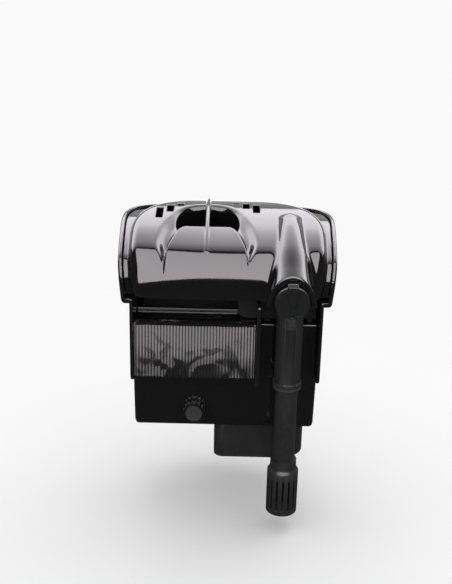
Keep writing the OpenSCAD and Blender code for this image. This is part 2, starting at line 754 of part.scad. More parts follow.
module cartridge_frame() color([0.1, 0.1, 0.11]) {
    z0 = floor_z + 1;
    h = 132;
    w = media_x1 - media_x0;
    rim = 4;
    window_h = media_h + 2;
    difference() {
        translate([media_x0, cartridge_y, z0]) cube([w, cartridge_t, h]);
        translate([media_x0 + rim, cartridge_y - 1, z0 + rim]) cube([w - 2 * rim, cartridge_t + 2, window_h]);
        // grip at the top
        translate([-46, cartridge_y - 1, z0 + h - 11]) cube([40, cartridge_t + 2, 7]);
    }
    for (i = [1:4])
        translate([media_x0 + i * 23 - 1, cartridge_y + cartridge_t - 1, z0 + 2]) cube([2, 1, window_h + 4]);
}

module floss_pad() color([0.78, 0.88, 0.95]) {
    translate([media_x0 + 4.5, cartridge_y + 0.5, floor_z + 5.5]) cube([media_x1 - media_x0 - 9, 6, media_h]);
}

module carbon_bed() color([0.06, 0.06, 0.06]) {
    translate([media_x0 + 4.5, cartridge_y + 7, floor_z + 5.5]) cube([media_x1 - media_x0 - 9, 5.7, media_h]);
}

module media_basket() color(dark_grey) {
    z0 = floor_z + 1;
    h = 86;
    translate([media_x0 + 1, 15, z0]) difference() {
        cube([113, 36, h]);
        translate([2, 2, 2]) cube([109, 32, h]);
        for (i = [0:9]) translate([6 + i * 10.6, -1, 8]) cube([4, 40, h - 18]);
        for (i = [0:9]) translate([6 + i * 10.6, 5, -1]) cube([4, 26, 5]);
    }
}

module ceramic_rings() color([0.86, 0.8, 0.7]) {
    for (level = [0:4], row = [0:1], i = [0:6])
        translate([media_x0 + 10.8 + i * 15.2, 24.6 + row * 15.6, floor_z + 10.5 + level * 14.6])
            rotate([(level + i) % 2 == 0 ? 0 : 90, 0, 8 * (i % 2)])
                translate([0, 0, -6.5]) ring(6.6, 3.4, 0, 13);
}

module bio_sponge() color([0.1, 0.12, 0.16]) {
    translate([media_x0 + 1.5, 15.5, floor_z + 88]) cube([112, 35, 24]);
}

// ---------- levelling wheel ----------

module level_wheel() color(black) facing_front(level_x, box_y0 - 0.8, level_z) difference() {
    cylinder(r = 11, h = 9.5);
    for (i = [0:15]) rotate([0, 0, i * 22.5]) translate([12, 0, -1]) cylinder(r = 2, h = 12);
    translate([0, 0, -1]) cylinder(r = 4 + gap, h = 8);
    translate([0, 0, 6]) cylinder(r = 2.4, h = 2);
    cylinder(r = 1.5, h = 20);
}

module level_pad() color(rubber) facing_front(level_x, box_y0 - 10.35, level_z) {
    cylinder(r = 8, h = 1.95);
    translate([0, 0, -1.65]) cylinder(r = 1.5 - gap, h = 2);
    translate([0, 0, -2.4]) cylinder(r = 2.2, h = 0.8);
}

filter_case();
spillway_panel();
lid();
intake_elbow();
flow_knob();
valve_shutter();
knob_o_ring();
tube_bracket();
intake_tube();
extension_tube();
tube_seal();
strainer();
impeller_cover();
impeller();
rotor_magnet();
rotor_shaft();
lower_bush();
upper_bush();
motor_housing();
motor_base();
motor_o_ring();
motor_screws();
stator_core();
stator_coils();
strain_relief();
power_cord();
cord_tie();
plug_body();
plug_pins();
cartridge_frame();
floss_pad();
carbon_bed();
media_basket();
ceramic_rings();
bio_sponge();
level_wheel();
level_pad();
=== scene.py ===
import json
import math
import random

import bpy
import numpy as np
from mathutils import Matrix, Vector


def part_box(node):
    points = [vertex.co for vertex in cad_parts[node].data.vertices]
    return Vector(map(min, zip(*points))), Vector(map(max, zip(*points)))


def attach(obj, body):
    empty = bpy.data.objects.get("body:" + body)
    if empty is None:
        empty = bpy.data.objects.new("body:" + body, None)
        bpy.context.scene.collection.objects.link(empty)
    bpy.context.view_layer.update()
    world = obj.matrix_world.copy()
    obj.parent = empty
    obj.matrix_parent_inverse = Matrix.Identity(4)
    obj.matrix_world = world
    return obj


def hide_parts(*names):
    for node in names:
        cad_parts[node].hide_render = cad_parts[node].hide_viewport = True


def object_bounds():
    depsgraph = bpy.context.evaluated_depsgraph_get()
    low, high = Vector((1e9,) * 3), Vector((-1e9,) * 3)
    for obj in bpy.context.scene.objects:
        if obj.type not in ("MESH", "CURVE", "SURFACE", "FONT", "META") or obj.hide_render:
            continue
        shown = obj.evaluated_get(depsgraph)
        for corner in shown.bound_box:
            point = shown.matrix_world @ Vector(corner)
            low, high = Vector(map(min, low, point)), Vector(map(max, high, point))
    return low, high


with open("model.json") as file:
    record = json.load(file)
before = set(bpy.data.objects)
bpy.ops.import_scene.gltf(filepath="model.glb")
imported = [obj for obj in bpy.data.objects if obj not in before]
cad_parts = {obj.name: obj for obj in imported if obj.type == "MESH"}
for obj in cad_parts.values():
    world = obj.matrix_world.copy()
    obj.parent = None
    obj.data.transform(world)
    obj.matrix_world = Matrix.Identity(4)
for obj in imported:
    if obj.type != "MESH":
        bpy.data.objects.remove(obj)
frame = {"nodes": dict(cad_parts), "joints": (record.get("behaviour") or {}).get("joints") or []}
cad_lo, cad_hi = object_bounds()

MM = 0.001


# ---------------------------------------------------------------- sizes from the frame, in millimetres

def span(node):
    """Lowest and highest corner of a CAD node, in millimetres."""
    lo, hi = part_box(node)
    return np.array(lo) / MM, np.array(hi) / MM


case_lo, case_hi = span("filter_case")
lid_lo, lid_hi = span("lid")
knob_lo, knob_hi = span("flow_knob")
tube_lo, tube_hi = span("intake_tube")
panel_lo, panel_hi = span("spillway_panel")
bracket_lo, bracket_hi = span("tube_bracket")

tube_x = (tube_lo[0] + tube_hi[0]) / 2
knob_r = (knob_hi[0] - knob_lo[0]) / 2
elbow_z = knob_lo[2] + knob_r       # height of the elbow's and the knob's axis
grip_x = -19.5                      # plane of the grip fin, left of the middle
seat_z = lid_lo[2]                  # where the lid sits on its shelf
crest_z = 102.5                     # top of the dome
flare = 0.1                         # sideways lean of the collar, mm per mm of height

cheek_in = -panel_lo[0] + 0.4       # inner face of the side cheeks
cheek_out = cheek_in + 3
half_w = cheek_out + 3              # half width of the box
rim_z = seat_z - 3.2                # where the box ends and the collar starts
box_front = 10.0
box_back = case_hi[1] - 15          # the cord hook stands out of the back wall
collar_back = box_back + 6
box_bottom = case_lo[2]
wall = 2.5


# ---------------------------------------------------------------- curves and fields

def bezier(points, steps):
    p = np.array(points, float)
    t = np.linspace(0, 1, steps + 1)[:, None]
    s = 1 - t
    return s**3 * p[0] + 3 * s * s * t * p[1] + 3 * s * t * t * p[2] + t**3 * p[3]


def spline(points, steps=40):
    """Smooth curve through points, with the given number of steps between neighbours."""
    p = np.array(points, float)
    p = np.vstack([2 * p[0] - p[1], p, 2 * p[-1] - p[-2]])
    t = np.arange(steps)[:, None] / steps
    out = []
    for a, b, c, d in zip(p[:-3], p[1:-2], p[2:-1], p[3:]):
        bend = 2 * a - 5 * b + 4 * c - d
        turn = 3 * b - a - 3 * c + d
        out.append(0.5 * (2 * b + (c - a) * t + bend * t**2 + turn * t**3))
    return np.vstack(out + [p[-2:-1]])


class Line:
    """A curve in a plane, as smooth tables of the signed distance to it (positive on its left side)
    and of a value that is carried along it."""

    CELL = 0.8

    def __init__(self, points, lo, hi, values=None):
        points = np.array(points, float)
        values = np.zeros(len(points)) if values is None else np.array(values, float)
        self.lo = np.array(lo, float)
        count = np.ceil((np.array(hi) - self.lo) / self.CELL).astype(int) + 1
        a = (self.lo[0] + self.CELL * np.arange(count[0]))[:, None]
        b = (self.lo[1] + self.CELL * np.arange(count[1]))[None, :]
        best = np.full(tuple(count), 1e9)
        self.distance = np.zeros(tuple(count))
        self.value = np.zeros(tuple(count))
        for (x0, y0), (x1, y1), v0, v1 in zip(points[:-1], points[1:], values[:-1], values[1:]):
            dx, dy = x1 - x0, y1 - y0
            rx, ry = a - x0, b - y0
            t = np.clip((rx * dx + ry * dy) / (dx * dx + dy * dy), 0, 1)
            d = (rx - t * dx) ** 2 + (ry - t * dy) ** 2
            near = d < best
            best[near] = d[near]
            side = np.where(dx * ry - dy * rx < 0, -1.0, 1.0)
            self.distance[near] = (np.sqrt(d) * side)[near]
            self.value[near] = (v0 + (v1 - v0) * t)[near]

    def look_up(self, table, a, b):
        u = np.clip((a - self.lo[0]) / self.CELL, 1, table.shape[0] - 2.001)
        v = np.clip((b - self.lo[1]) / self.CELL, 1, table.shape[1] - 2.001)
        i, j = np.floor(u).astype(int), np.floor(v).astype(int)
        wu, wv = cubic_weights(u - i), cubic_weights(v - j)
        total = 0.0
        for m in range(4):
            row = sum(wv[n] * table[i + m - 1, j + n - 1] for n in range(4))
            total = total + wu[m] * row
        return total

    def away(self, a, b):
        return self.look_up(self.distance, a, b)

    def carried(self, a, b):
        return self.look_up(self.value, a, b)


def cubic_weights(t):
    return (
        0.5 * (-t + 2 * t**2 - t**3),
        0.5 * (2 - 5 * t**2 + 3 * t**3),
        0.5 * (t + 4 * t**2 - 3 * t**3),
        0.5 * (t**3 - t**2),
    )


def smooth_step(t):
    t = np.clip(t, 0, 1)
    return t * t * (3 - 2 * t)


def most(*fields):
    """Intersection with sharp edges."""
    out = fields[0]
    for f in fields[1:]:
        out = np.maximum(out, f)
    return out


def least(*fields):
    """Union with sharp edges."""
    out = fields[0]
    for f in fields[1:]:
        out = np.minimum(out, f)
    return out


def round_max(a, b, r):
    """Intersection with an edge of radius r."""
    return np.minimum(np.maximum(a, b), -r) + np.hypot(np.maximum(a + r, 0), np.maximum(b + r, 0))


def blend_min(a, b, k):
    """Union with a fillet of about k."""
    h = np.maximum(k - np.abs(a - b), 0) / k
    return np.minimum(a, b) - h * h * h * k / 6


def blend_max(a, b, k):
    return -blend_min(-a, -b, k)


def slab(v, lo, hi):
    return np.abs(v - (lo + hi) / 2) - (hi - lo) / 2


def block(x, y, z, lo, hi, r=0.6):
    """Box with rounded edges."""
    d = round_max(slab(x, lo[0], hi[0]), slab(y, lo[1], hi[1]), r)
    return round_max(d, slab(z, lo[2], hi[2]), r)


def tube_field(across, along, radius, lo, hi, r=0.5):
    """Cylinder with rounded rims, from its distance to the axis and its place along it."""
    return round_max(across - radius, slab(along, lo, hi), r)


def plan_distance(x, y, width, depth, power, y0):
    """About the distance to a plan with straight sides and a bowed back."""
    ax = np.abs(x) / width
    by = np.maximum(y - y0, 0) / (depth - y0)
    g = (ax**power + by**power) ** (1 / power) + 1e-9
    slope = np.hypot((ax / g) ** (power - 1) / width, (by / g) ** (power - 1) / (depth - y0))
    return (g - 1) / slope


# ---------------------------------------------------------------- meshes

def add_mesh(name, verts, faces):
    """Smooth-shaded piece from points in millimetres and a list of faces."""
    mesh = bpy.data.meshes.new(name)
    mesh.from_pydata((verts * MM).tolist(), [], faces)
    mesh.validate()
    mesh.update()
    obj = bpy.data.objects.new(name, mesh)
    bpy.context.scene.collection.objects.link(obj)
    mesh.polygons.foreach_set("use_smooth", [True] * len(mesh.polygons))
    return obj


def surface_nets(field, lo, hi, step):
    """Closed mesh of quads on field(x, y, z) = 0, its vertices moved onto the surface."""
    axes = [np.arange(lo[i] - 2 * step, hi[i] + 3 * step, step) for i in range(3)]
    f = np.array(field(axes[0][:, None, None], axes[1][None, :, None], axes[2][None, None, :]))
    inside = f < 0
    n = np.array(f.shape) - 1
    corners = [(i, j, k) for i in (0, 1) for j in (0, 1) for k in (0, 1)]
    filled = np.zeros(tuple(n), np.int8)
    for i, j, k in corners:
        filled += inside[i:i + n[0], j:j + n[1], k:k + n[2]]
    mixed = (filled > 0) & (filled < 8)
    at = np.argwhere(mixed)
    index = np.full(tuple(n), -1)
    index[mixed] = np.arange(len(at))
    value = {c: f[at[:, 0] + c[0], at[:, 1] + c[1], at[:, 2] + c[2]] for c in corners}
    hits = np.zeros(len(at))
    total = np.zeros((len(at), 3))
    for c in corners:
        for axis in range(3):
            if c[axis]:
                continue
            e = tuple(1 if i == axis else c[i] for i in range(3))
            fa, fb = value[c], value[e]
            cross = (fa < 0) != (fb < 0)
            t = np.where(cross, fa / np.where(cross, fa - fb, 1), 0)
            hits += cross
            for i in range(3):
                total[:, i] += cross * (c[i] + (t if i == axis else 0))
    verts = (total / hits[:, None] + at) * step + np.array([a[0] for a in axes])
    quads = []
    for axis in range(3):
        u, v = (axis + 1) % 3, (axis + 2) % 3
        near = [slice(0, s) for s in f.shape]
        far = [slice(0, s) for s in f.shape]
        near[axis] = slice(0, f.shape[axis] - 1)
        far[axis] = slice(1, f.shape[axis])
        first = inside[tuple(near)]
        edges = np.argwhere(first != inside[tuple(far)])
        keep = (edges[:, u] > 0) & (edges[:, v] > 0) & (edges[:, u] < n[u]) & (edges[:, v] < n[v])
        edges = edges[keep]
        ring = []
        for du, dv in ((-1, -1), (0, -1), (0, 0), (-1, 0)):
            c = edges.copy()
            c[:, u] += du
            c[:, v] += dv
            ring.append(index[c[:, 0], c[:, 1], c[:, 2]])
        q = np.stack(ring, 1)
        flip = ~first[edges[:, 0], edges[:, 1], edges[:, 2]]
        q[flip] = q[flip][:, ::-1]
        quads.append(q)
    for _ in range(2):
        here = field(*verts.T)
        h = 0.03
        slope = np.stack([(field(*(verts + h * d).T) - here) / h for d in np.eye(3)], 1)
        move = here[:, None] * slope / np.maximum((slope**2).sum(1), 0.1)[:, None]
        size = np.linalg.norm(move, axis=1, keepdims=True)
        verts = verts - move * np.minimum(1, 0.4 * step / np.maximum(size, 1e-9))
    return verts, np.vstack(quads)


def sculpt(name, field, lo, hi, step):
    """Piece whose surface is where the field is zero."""
    verts, quads = surface_nets(field, np.array(lo, float), np.array(hi, float), step)
    return add_mesh(name, verts, quads.tolist())


def sweep(name, path, radius, sides=16):
    """Round cord along a path; radius is a number or one value a point."""
    path = np.array(path, float)
    radius = np.broadcast_to(radius, len(path))
    tangent = np.gradient(path, axis=0)
    tangent /= np.linalg.norm(tangent, axis=1, keepdims=True)
    side = np.cross(tangent[0], [0.3, 0.9, 0.2])
    verts = []
    for p, t, r in zip(path, tangent, radius):
        side = side - t * (side @ t)
        side /= np.linalg.norm(side)
        up = np.cross(t, side)
        a = np.linspace(0, 2 * np.pi, sides, endpoint=False)[:, None]
        verts.append(p + r * (np.cos(a) * side + np.sin(a) * up))
    ring = [(k, (k + 1) % sides) for k in range(sides)]
    last = (len(path) - 1) * sides
    rows = range(0, last, sides)
    faces = [[row + k, row + k1, row + sides + k1, row + sides + k] for row in rows for k, k1 in ring]
    start_tip, end_tip = last + sides, last + sides + 1
    faces += [[start_tip, k1, k] for k, k1 in ring]
    faces += [[end_tip, last + k, last + k1] for k, k1 in ring]
    return add_mesh(name, np.vstack(verts + [path[:1], path[-1:]]), faces)


# ---------------------------------------------------------------- lid

front_y = -35.0
shoulder = [-12, 79.5]
crest = [60, crest_z]
side_lo, side_hi = (-62, 20), (112, 116)        # region of the side views (Y, Z)
plan_lo, plan_hi = (-16, -44), (60, 64)         # region of the grip's plan (distance from the fin, Y)

dome_line = np.vstack([
    [[front_y, 5]],
    bezier([[front_y, seat_z], [front_y - 0.5, 58], [-26.5, 71], shoulder], 200),
    bezier([shoulder, [8, 91.3], [36, crest_z], crest], 260)[1:],
    bezier([crest, [76, crest_z], [87, 97], [92, 86]], 120)[1:],
    [[104, 50]],
])
dome_side = Line(dome_line, side_lo, side_hi)

channel_front = front_y + 13
channel_knee = [-5, 67.5]
channel_crest = [60, crest_z - 13]
channel_line = np.vstack([
    [[channel_front, 5]],
    bezier([[channel_front, seat_z], [channel_front - 0.5, 50], [-17, 61], channel_knee], 120),
    bezier([channel_knee, [12, 76.7], [38, 89], channel_crest], 160)[1:],
    bezier([channel_crest, [72, 91], [86, 90.5], [112, 88]], 80)[1:],
])
channel_side = Line(channel_line, side_lo, side_hi)

# outlines of the grip, seen from above: the hollow round it, the raised pod in that, and its openings
bowl_path = spline([
    [-16, 48], [0, 49], [16, 45.5], [27, 37], [34.5, 24.5], [40.5, 12], [44.3, -2], [44.8, -12], [42, -23],
    [38.5, -34], [37, -44],
])
pod_path = spline([
    [-16, 10.7], [0, 10.8], [12, 10.9], [20, 10.2], [26, 6.5], [30, 0], [33.5, -8], [36, -17], [38, -34],
    [39, -44],
])
hole_path = spline([
    [-16, 44.5], [0, 46.5], [10, 44.8], [19, 41.5], [26, 34.5], [29.3, 24], [28.5, 16], [25, 11.5],
    [19, 10.8], [0, 10.6], [-16, 10.6],
])
slit_path = spline([[26.5, 9.5], [30.5, 3.5], [34, -5], [36.2, -13]])
slit_half = 1.5 * np.sin(np.linspace(0, np.pi, len(slit_path)))
bowl = Line(bowl_path, plan_lo, plan_hi)
pod = Line(pod_path, plan_lo, plan_hi)
hole = Line(hole_path, plan_lo, plan_hi)
slit = Line(slit_path, plan_lo, plan_hi, slit_half)

arch_r = 23.0
arch_y = -50.0
hood_axis = spline([[arch_y, elbow_z - 4.7], [-42, 43.5], [-30, 54.3], [-12, 69.8], [7, 82.6], [22, 89.8]])
hood_radius = spline([[0, arch_r], [1, 19.8], [2, 17.6], [3, 15.4], [4, 13.2], [5, 11.7]])[:, 1]
hood_end = hood_axis[-1]
hood_way = (hood_end - hood_axis[-10]) / np.linalg.norm(hood_end - hood_axis[-10])
hood_side = Line(np.vstack([hood_axis, hood_end + 60 * hood_way]), side_lo, side_hi,
                 np.append(hood_radius, hood_radius[-1]))

lid_skin = 2.2
grip_skin = 1.4                     # added round the grip
bowl_depth = 6.3                    # how deep the hollow round the grip is pressed in
flange_thick = 2.5
vent_half = 3.1
vent_rows = ((26.8, 52.0, 6.0), (36.4, 44.5, 14.0), (46.2, 37.2, 18.0))     # reach, middle and length
fin_half = 2.0
fin_front, fin_back = -21, 72
front_bow = 3.4                     # how far the ends of the front stand behind its middle
dome_back = box_back - 12
front_sag = 10.0                    # how much lower the ends of the front curve back
skirt_y, skirt_z = 36, 74           # behind skirt_y the dome's walls end at skirt_z


def dome_width(z):
    """Half width of the dome: tucked in at its lower edge, then leaning outwards."""
    up = np.maximum(z - seat_z, 0)
    return 85.5 + 3.5 * (1 - np.exp(-up / 7)) + 0.06 * up


def dome_field(x, y, z, dents=True):
    outward = (x / half_w)**2 * smooth_step((10 - y) / 40)
    sag = front_sag * outward * smooth_step((76 - z) / 24)
    profile = dome_side.away(y - front_bow * outward, z + sag)
    side = plan_distance(x, y, dome_width(z), dome_back, 2.1, 8)
    if dents:
        u = np.abs(x - grip_x)
        inside_bowl = -bowl.away(u, y)
        outside_pod = pod.away(u, y)
        fade = smooth_step((y + 40) / 34)
        pressed = smooth_step((inside_bowl + 2.5) / 10) * smooth_step((outside_pod + 0.5) / 2.8)
        profile = profile + bowl_depth * fade * pressed * (z > 55)
    return round_max(profile, side, 10)


def hood_field(x, y, z, grow=0.0):
    """Tube that narrows to a round end on the dome; its walls run straight down from its axis."""
    up = np.maximum(hood_side.away(y, z), 0)
    beyond = np.maximum((y - hood_end[0]) * hood_way[0] + (z - hood_end[1]) * hood_way[1], 0)
    return np.hypot(x - tube_x, np.hypot(up, beyond)) - hood_side.carried(y, z) - grow


def hole_field(x, y, z):
    u = np.abs(x - grip_x)
    opening = least(hole.away(u, y), np.abs(slit.away(u, y)) - slit.carried(u, y))
    return np.maximum(opening, 66 - z)


def vent_field(x, y, z):
    """Three vents on each side of the grip; the right ones sit further back."""
    out = 1e3
    for side in (-1, 1):
        for reach, middle, length in vent_rows:
            across = x - (grip_x + side * reach)
            along = y - (middle + side * (0.105 * reach + 0.7))
            out = np.minimum(out, np.maximum(np.abs(across) - vent_half, np.abs(along) - length / 2))
    return np.maximum(out, 60 - z)


def lid_field(x, y, z):
    u = np.abs(x - grip_x)
    dome = dome_field(x, y, z)
    hood = hood_field(x, y, z)
    skin = lid_skin + grip_skin * smooth_step((5 - bowl.away(u, y)) / 4)
    fillet = 4 + 6 * smooth_step((-5 - y) / 30)
    outer = blend_min(dome, round_max(hood, arch_y - y, 1.2), fillet)
    outer = blend_max(outer, -hole_field(x, y, z), 3.0)
    hollow = blend_min(dome + skin, np.maximum(hood + skin + 0.5, arch_y + 4 - y), 9)
    hollow = np.maximum(hollow, lid_skin - hole.away(u, y))
    arch = np.maximum(hood_field(x, y, z, -5.0), y + 30)
    hollow = np.minimum(hollow, arch)
    body = np.maximum(outer, -hollow)
    # flange in the channel round the dome
    sheet = slab(channel_side.away(y, z), -flange_thick, 0)
    rim = plan_distance(x, y, half_w + 1 + (z - rim_z) * flare, collar_back - 4.6, 3.3, 30)
    flange = round_max(sheet, rim, 0.6)
    flange = np.maximum(flange, -(dome_field(x, y, z, False) + 1))
    body = blend_min(body, flange, 3.0)
    # fin across the finger pocket
    proud = 1.8 * smooth_step((y + 20) / 50) * smooth_step((76 - y) / 10) + 0.5
    ridge = dome_side.away(y, z) - proud
    fin = round_max(round_max(u - fin_half, ridge, 1.5), np.maximum(fin_front - y, y - fin_back), 1.6)
    fin = most(fin, -ridge - 20, -hollow)
    body = blend_min(body, fin, 1.6)
    body = blend_max(body, -vent_field(x, y, z), 0.5)
    lower = np.where(y > skirt_y, skirt_z, seat_z)
    return np.maximum(body, np.minimum(lower - z, np.maximum(seat_z - z, y - skirt_y)))


lid = sculpt("lid_shell", lid_field, lid_lo, lid_hi + [0, 0, 2.5], 0.9)
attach(lid, "lid")
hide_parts("lid")

# ---------------------------------------------------------------- case

collar_w = half_w + 5.5
collar_low = rim_z - 6.5
shelf_top = rim_z + 3
apron_back = -10.0
apron_front = apron_back - 2.5
apron_low = -52.0
cheek_front = -30.0
spill_z = 9.0
bay_x = 28.0
partition_x = 31.6
floor_z = box_bottom + 3
pump_y = 48.0
well_r = 21.0
post_r, post_reach = 4.2, 29.0      # the two screw posts beside the pump well
passage_lo, passage_hi, passage_pitch = -101, -19, 18
hook_half, hook_reach, hook_low, hook_thick = 8, 15, -36.7, 4
wheel_x, wheel_z = -30, -98         # axis of the levelling wheel on the front wall
draft = math.tan(math.radians(1))


def box_field(x, y, z):
    taper = draft * (rim_z - z)
    side = plan_distance(x, y, half_w - taper, box_back - taper, 4.5, 30)
    return round_max(round_max(side, box_front - y, 2.5), box_bottom - z, 7)


def collar_side(x, y, z):
    return plan_distance(x, y, collar_w + (z - rim_z) * flare, collar_back, 3.3, 30)


def mouth_field(x, y, z):
    """Opening above the spillway and, higher up, in front of the pump well."""
    left = block(x, y, z, (-cheek_in, -60, spill_z), (bay_x, box_front + 4, 90), 0.5)
    right = block(x, y, z, (bay_x - 2, -60, 22), (cheek_in, box_front + 4, 90), 0.5)
    return np.minimum(left, right)


def collar_field(x, y, z):
    side = collar_side(x, y, z)
    outer = round_max(side, channel_side.away(y, z) - 2.5, 2.2)
    outer = round_max(outer, collar_low - z, 4.5)
    cavity = round_max(side + 4, shelf_top - z, 1.2)
    front = most(side + 4, rim_z - 1 - z, y + 10)
    inner = most(side + 5.5, box_front - y)
    body = most(outer, -cavity, -front, -inner)
    return round_max(body, -mouth_field(x, y, z), 0.6)


def cheek_field(x, y, z):
    leg = round_max(round_max(cheek_front - y, apron_low - z, 8), y - apron_back, 0.8)
    arm = most(cheek_front - y, -z, y - box_front - 3)
    view = round_max(np.minimum(leg, arm), z - rim_z - 0.5, 0.8)
    return round_max(view, slab(np.abs(x), cheek_in, cheek_out), 0.8)


def hull_field(x, y, z):
    """Everything of the case below the collar."""
    outer = np.maximum(box_field(x, y, z), z - shelf_top)
    inner = np.maximum(box_field(x, y, z) + wall, floor_z - z)
    body = round_max(outer, -inner, 0.8)
    body = np.maximum(body, -mouth_field(x, y, z))
    body = np.minimum(body, cheek_field(x, y, z))
    shelf = block(x, y, z, (-cheek_out + 1, apron_front, 0), (cheek_out - 1, box_front + 1, 3), 0.7)
    apron = block(x, y, z, (-cheek_out + 1, apron_front, apron_low), (cheek_out - 1, apron_back, 3), 0.7)
    body = blend_min(body, np.minimum(shelf, apron), 1.2)
    divider = round_max(round_max(-38 - y, apron_low - z, 6), z - rim_z + 2, 2)
    divider = round_max(np.maximum(divider, y - apron_back + 1), slab(x, bay_x, bay_x + 4), 1.0)
    body = np.minimum(body, divider)
    start = (partition_x, box_front + 1, floor_z - 1)
    partition = block(x, y, z, start, (partition_x + 2, box_front + 64, 3))
    passage = slab(np.mod(z - passage_lo + 5, passage_pitch) - 5, 1, 9)
    passage = most(passage, slab(y, 24, 46), slab(z, passage_lo, passage_hi))
    passage = np.maximum(passage, slab(x, partition_x - 3, partition_x + 5))
    body = np.minimum(body, np.maximum(partition, -passage))
    # guides in front of and behind the cartridge
    for y0 in (53.8, 70.2):
        left = block(x, y, z, (-half_w + 3, y0, floor_z - 1), (-82, y0 + 2, -4))
        right = block(x, y, z, (partition_x - 4, y0, floor_z - 1), (partition_x, y0 + 2, -4))
        body = least(body, np.maximum(left, box_field(x, y, z) + 1), right)
    # pump well with its screw posts
    well = np.hypot(x - tube_x, y - pump_y) - well_r
    body = np.maximum(body, -np.maximum(well, z - floor_z - 2))
    for angle in (100, 280):
        cx = tube_x + post_reach * math.cos(math.radians(angle))
        cy = pump_y + post_reach * math.sin(math.radians(angle))
        body = np.minimum(body, tube_field(np.hypot(x - cx, y - cy), z, post_r, floor_z - 1, floor_z + 7))
    # hook that carries the cord
    low, high, end = hook_low, hook_low + hook_thick, box_back + hook_reach
    arm = block(x, y, z, (-hook_half, box_back - 4, low), (hook_half, end, high), 0.8)
    tip = block(x, y, z, (-hook_half, end - 3, low), (hook_half, end, high + 5), 1.2)
    body = blend_min(body, np.minimum(arm, tip), 2.0)
    # stud of the levelling wheel
    stud = np.hypot(x - wheel_x, z - wheel_z)
    body = least(body, tube_field(stud, y, 4, 0.4, 10), tube_field(stud, y, 7, 7.4, 10))
    return body


hull = sculpt("case_box", hull_field, [case_lo[0] + 5, case_lo[1] - 1, case_lo[2]],
              [case_hi[0] - 5, case_hi[1], shelf_top + 1], 1.3)
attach(hull, "case")
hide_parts("filter_case")

collar = sculpt("case_collar", collar_field, [case_lo[0], case_lo[1], collar_low],
                [case_hi[0], collar_back, case_hi[2]], 0.9)
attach(collar, "case")

# ---------------------------------------------------------------- spillway

lip_z = 5.7
rib_pitch = 2.9
rib_height = 0.6
rib_samples = 12
panel_thick = 2.4
chute_line = np.vstack([
    bezier([[box_front - 0.3, lip_z], [4, lip_z], [-4, lip_z], [apron_back - 2, lip_z]], 12),
    bezier([[apron_back - 4, lip_z - 0.1], [-18.5, 5], [-20, 1], [-20.5, -5]], 40),
    bezier([[-20.6, -6], [-22, -20], [-23, -35], [-24.5, apron_low + 3]], 30),
])


def ribbed_panel(name):
    """Sheet along the chute line; flat-topped ribs with narrow grooves start behind the lip."""
    along = np.gradient(chute_line, axis=0)
    along /= np.linalg.norm(along, axis=1, keepdims=True)
    out = np.stack([along[:, 1], -along[:, 0]], 1)
    x = np.arange(panel_lo[0], panel_hi[0], rib_pitch / rib_samples)
    n, m = len(x), len(out)
    phase = np.abs(np.mod((x - panel_lo[0]) / rib_pitch, 1) - 0.5)
    ribs = 1 - smooth_step((0.17 - phase) / 0.13)
    over_lip = smooth_step((2 - chute_line[:, 0]) / 14)
    verts = []
    for lift in (rib_height * ribs[:, None] * over_lip[None, :], np.full((n, m), -panel_thick)):
        yz = chute_line[None, :, :] + lift[..., None] * out[None, :, :]
        across = np.broadcast_to(x[:, None, None], (n, m, 1))
        verts.append(np.concatenate([across, yz], 2).reshape(-1, 3))
    at = np.arange(n * m).reshape(n, m)
    back = at + n * m
    faces = []
    for grid, turn in ((at, 1), (back, -1)):
        quad = np.stack([grid[:-1, :-1], grid[1:, :-1], grid[1:, 1:], grid[:-1, 1:]], 2).reshape(-1, 4)
        faces.append(quad[:, ::turn])
    for rim in (np.s_[0], np.s_[-1, ::-1], np.s_[::-1, 0], np.s_[:, -1]):
        row, far = at[rim], back[rim]
        faces.append(np.stack([row[:-1], row[1:], far[1:], far[:-1]], 1))
    obj = add_mesh(name, np.vstack(verts), np.vstack(faces).tolist())
    flat = sum(len(f) for f in faces[:2])
    smooth = [i < flat for i in range(len(obj.data.polygons))]
    obj.data.polygons.foreach_set("use_smooth", smooth)
    return obj


panel = ribbed_panel("spillway_ribs")
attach(panel, "case")
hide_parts("spillway_panel")

# ---------------------------------------------------------------- knob and bracket

dial_front, dial_back = -55.6, -50.3
pointer_low = -11.5                 # the pointer's thin end, below the axis
pointer_high = knob_r + 2.8
plug_r, plug_back = 11.95, -42
cradle_r = 12.6                     # the bracket's seat for the elbow


def knob_field(x, y, z):
    u, v = x - tube_x, z - elbow_z
    r = np.hypot(u, v)
    face = dial_front - 0.25 * smooth_step(1 - r / knob_r)
    disc = round_max(r - knob_r, np.maximum(face - y, y - dial_back), 1.1)
    groove = np.hypot(r - (knob_r - 1.9), y - dial_front + 0.1) - 0.28
    disc = np.maximum(disc, -groove)
    t = np.clip((v - pointer_low) / (pointer_high - pointer_low), 0, 1)
    height = 1.3 + 3.2 * t**1.3
    ridge = round_max(np.abs(u) - (0.8 + 4.0 * t), dial_front + 0.1 - height - y, 0.6)
    ridge = round_max(ridge, np.maximum(pointer_low - v, v - pointer_high), 0.8)
    ridge = most(ridge, y - dial_front - 1.2, v - pointer_high + 0.75 * (dial_front - 0.8 - y))
    body = blend_min(disc, ridge, 0.9)
    plug = tube_field(r, y, plug_r, dial_back - 0.3, plug_back, 0.3)
    return np.minimum(body, plug)


knob = sculpt("knob_cap", knob_field, knob_lo, knob_hi, 0.4)
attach(knob, "knob")
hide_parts("flow_knob")


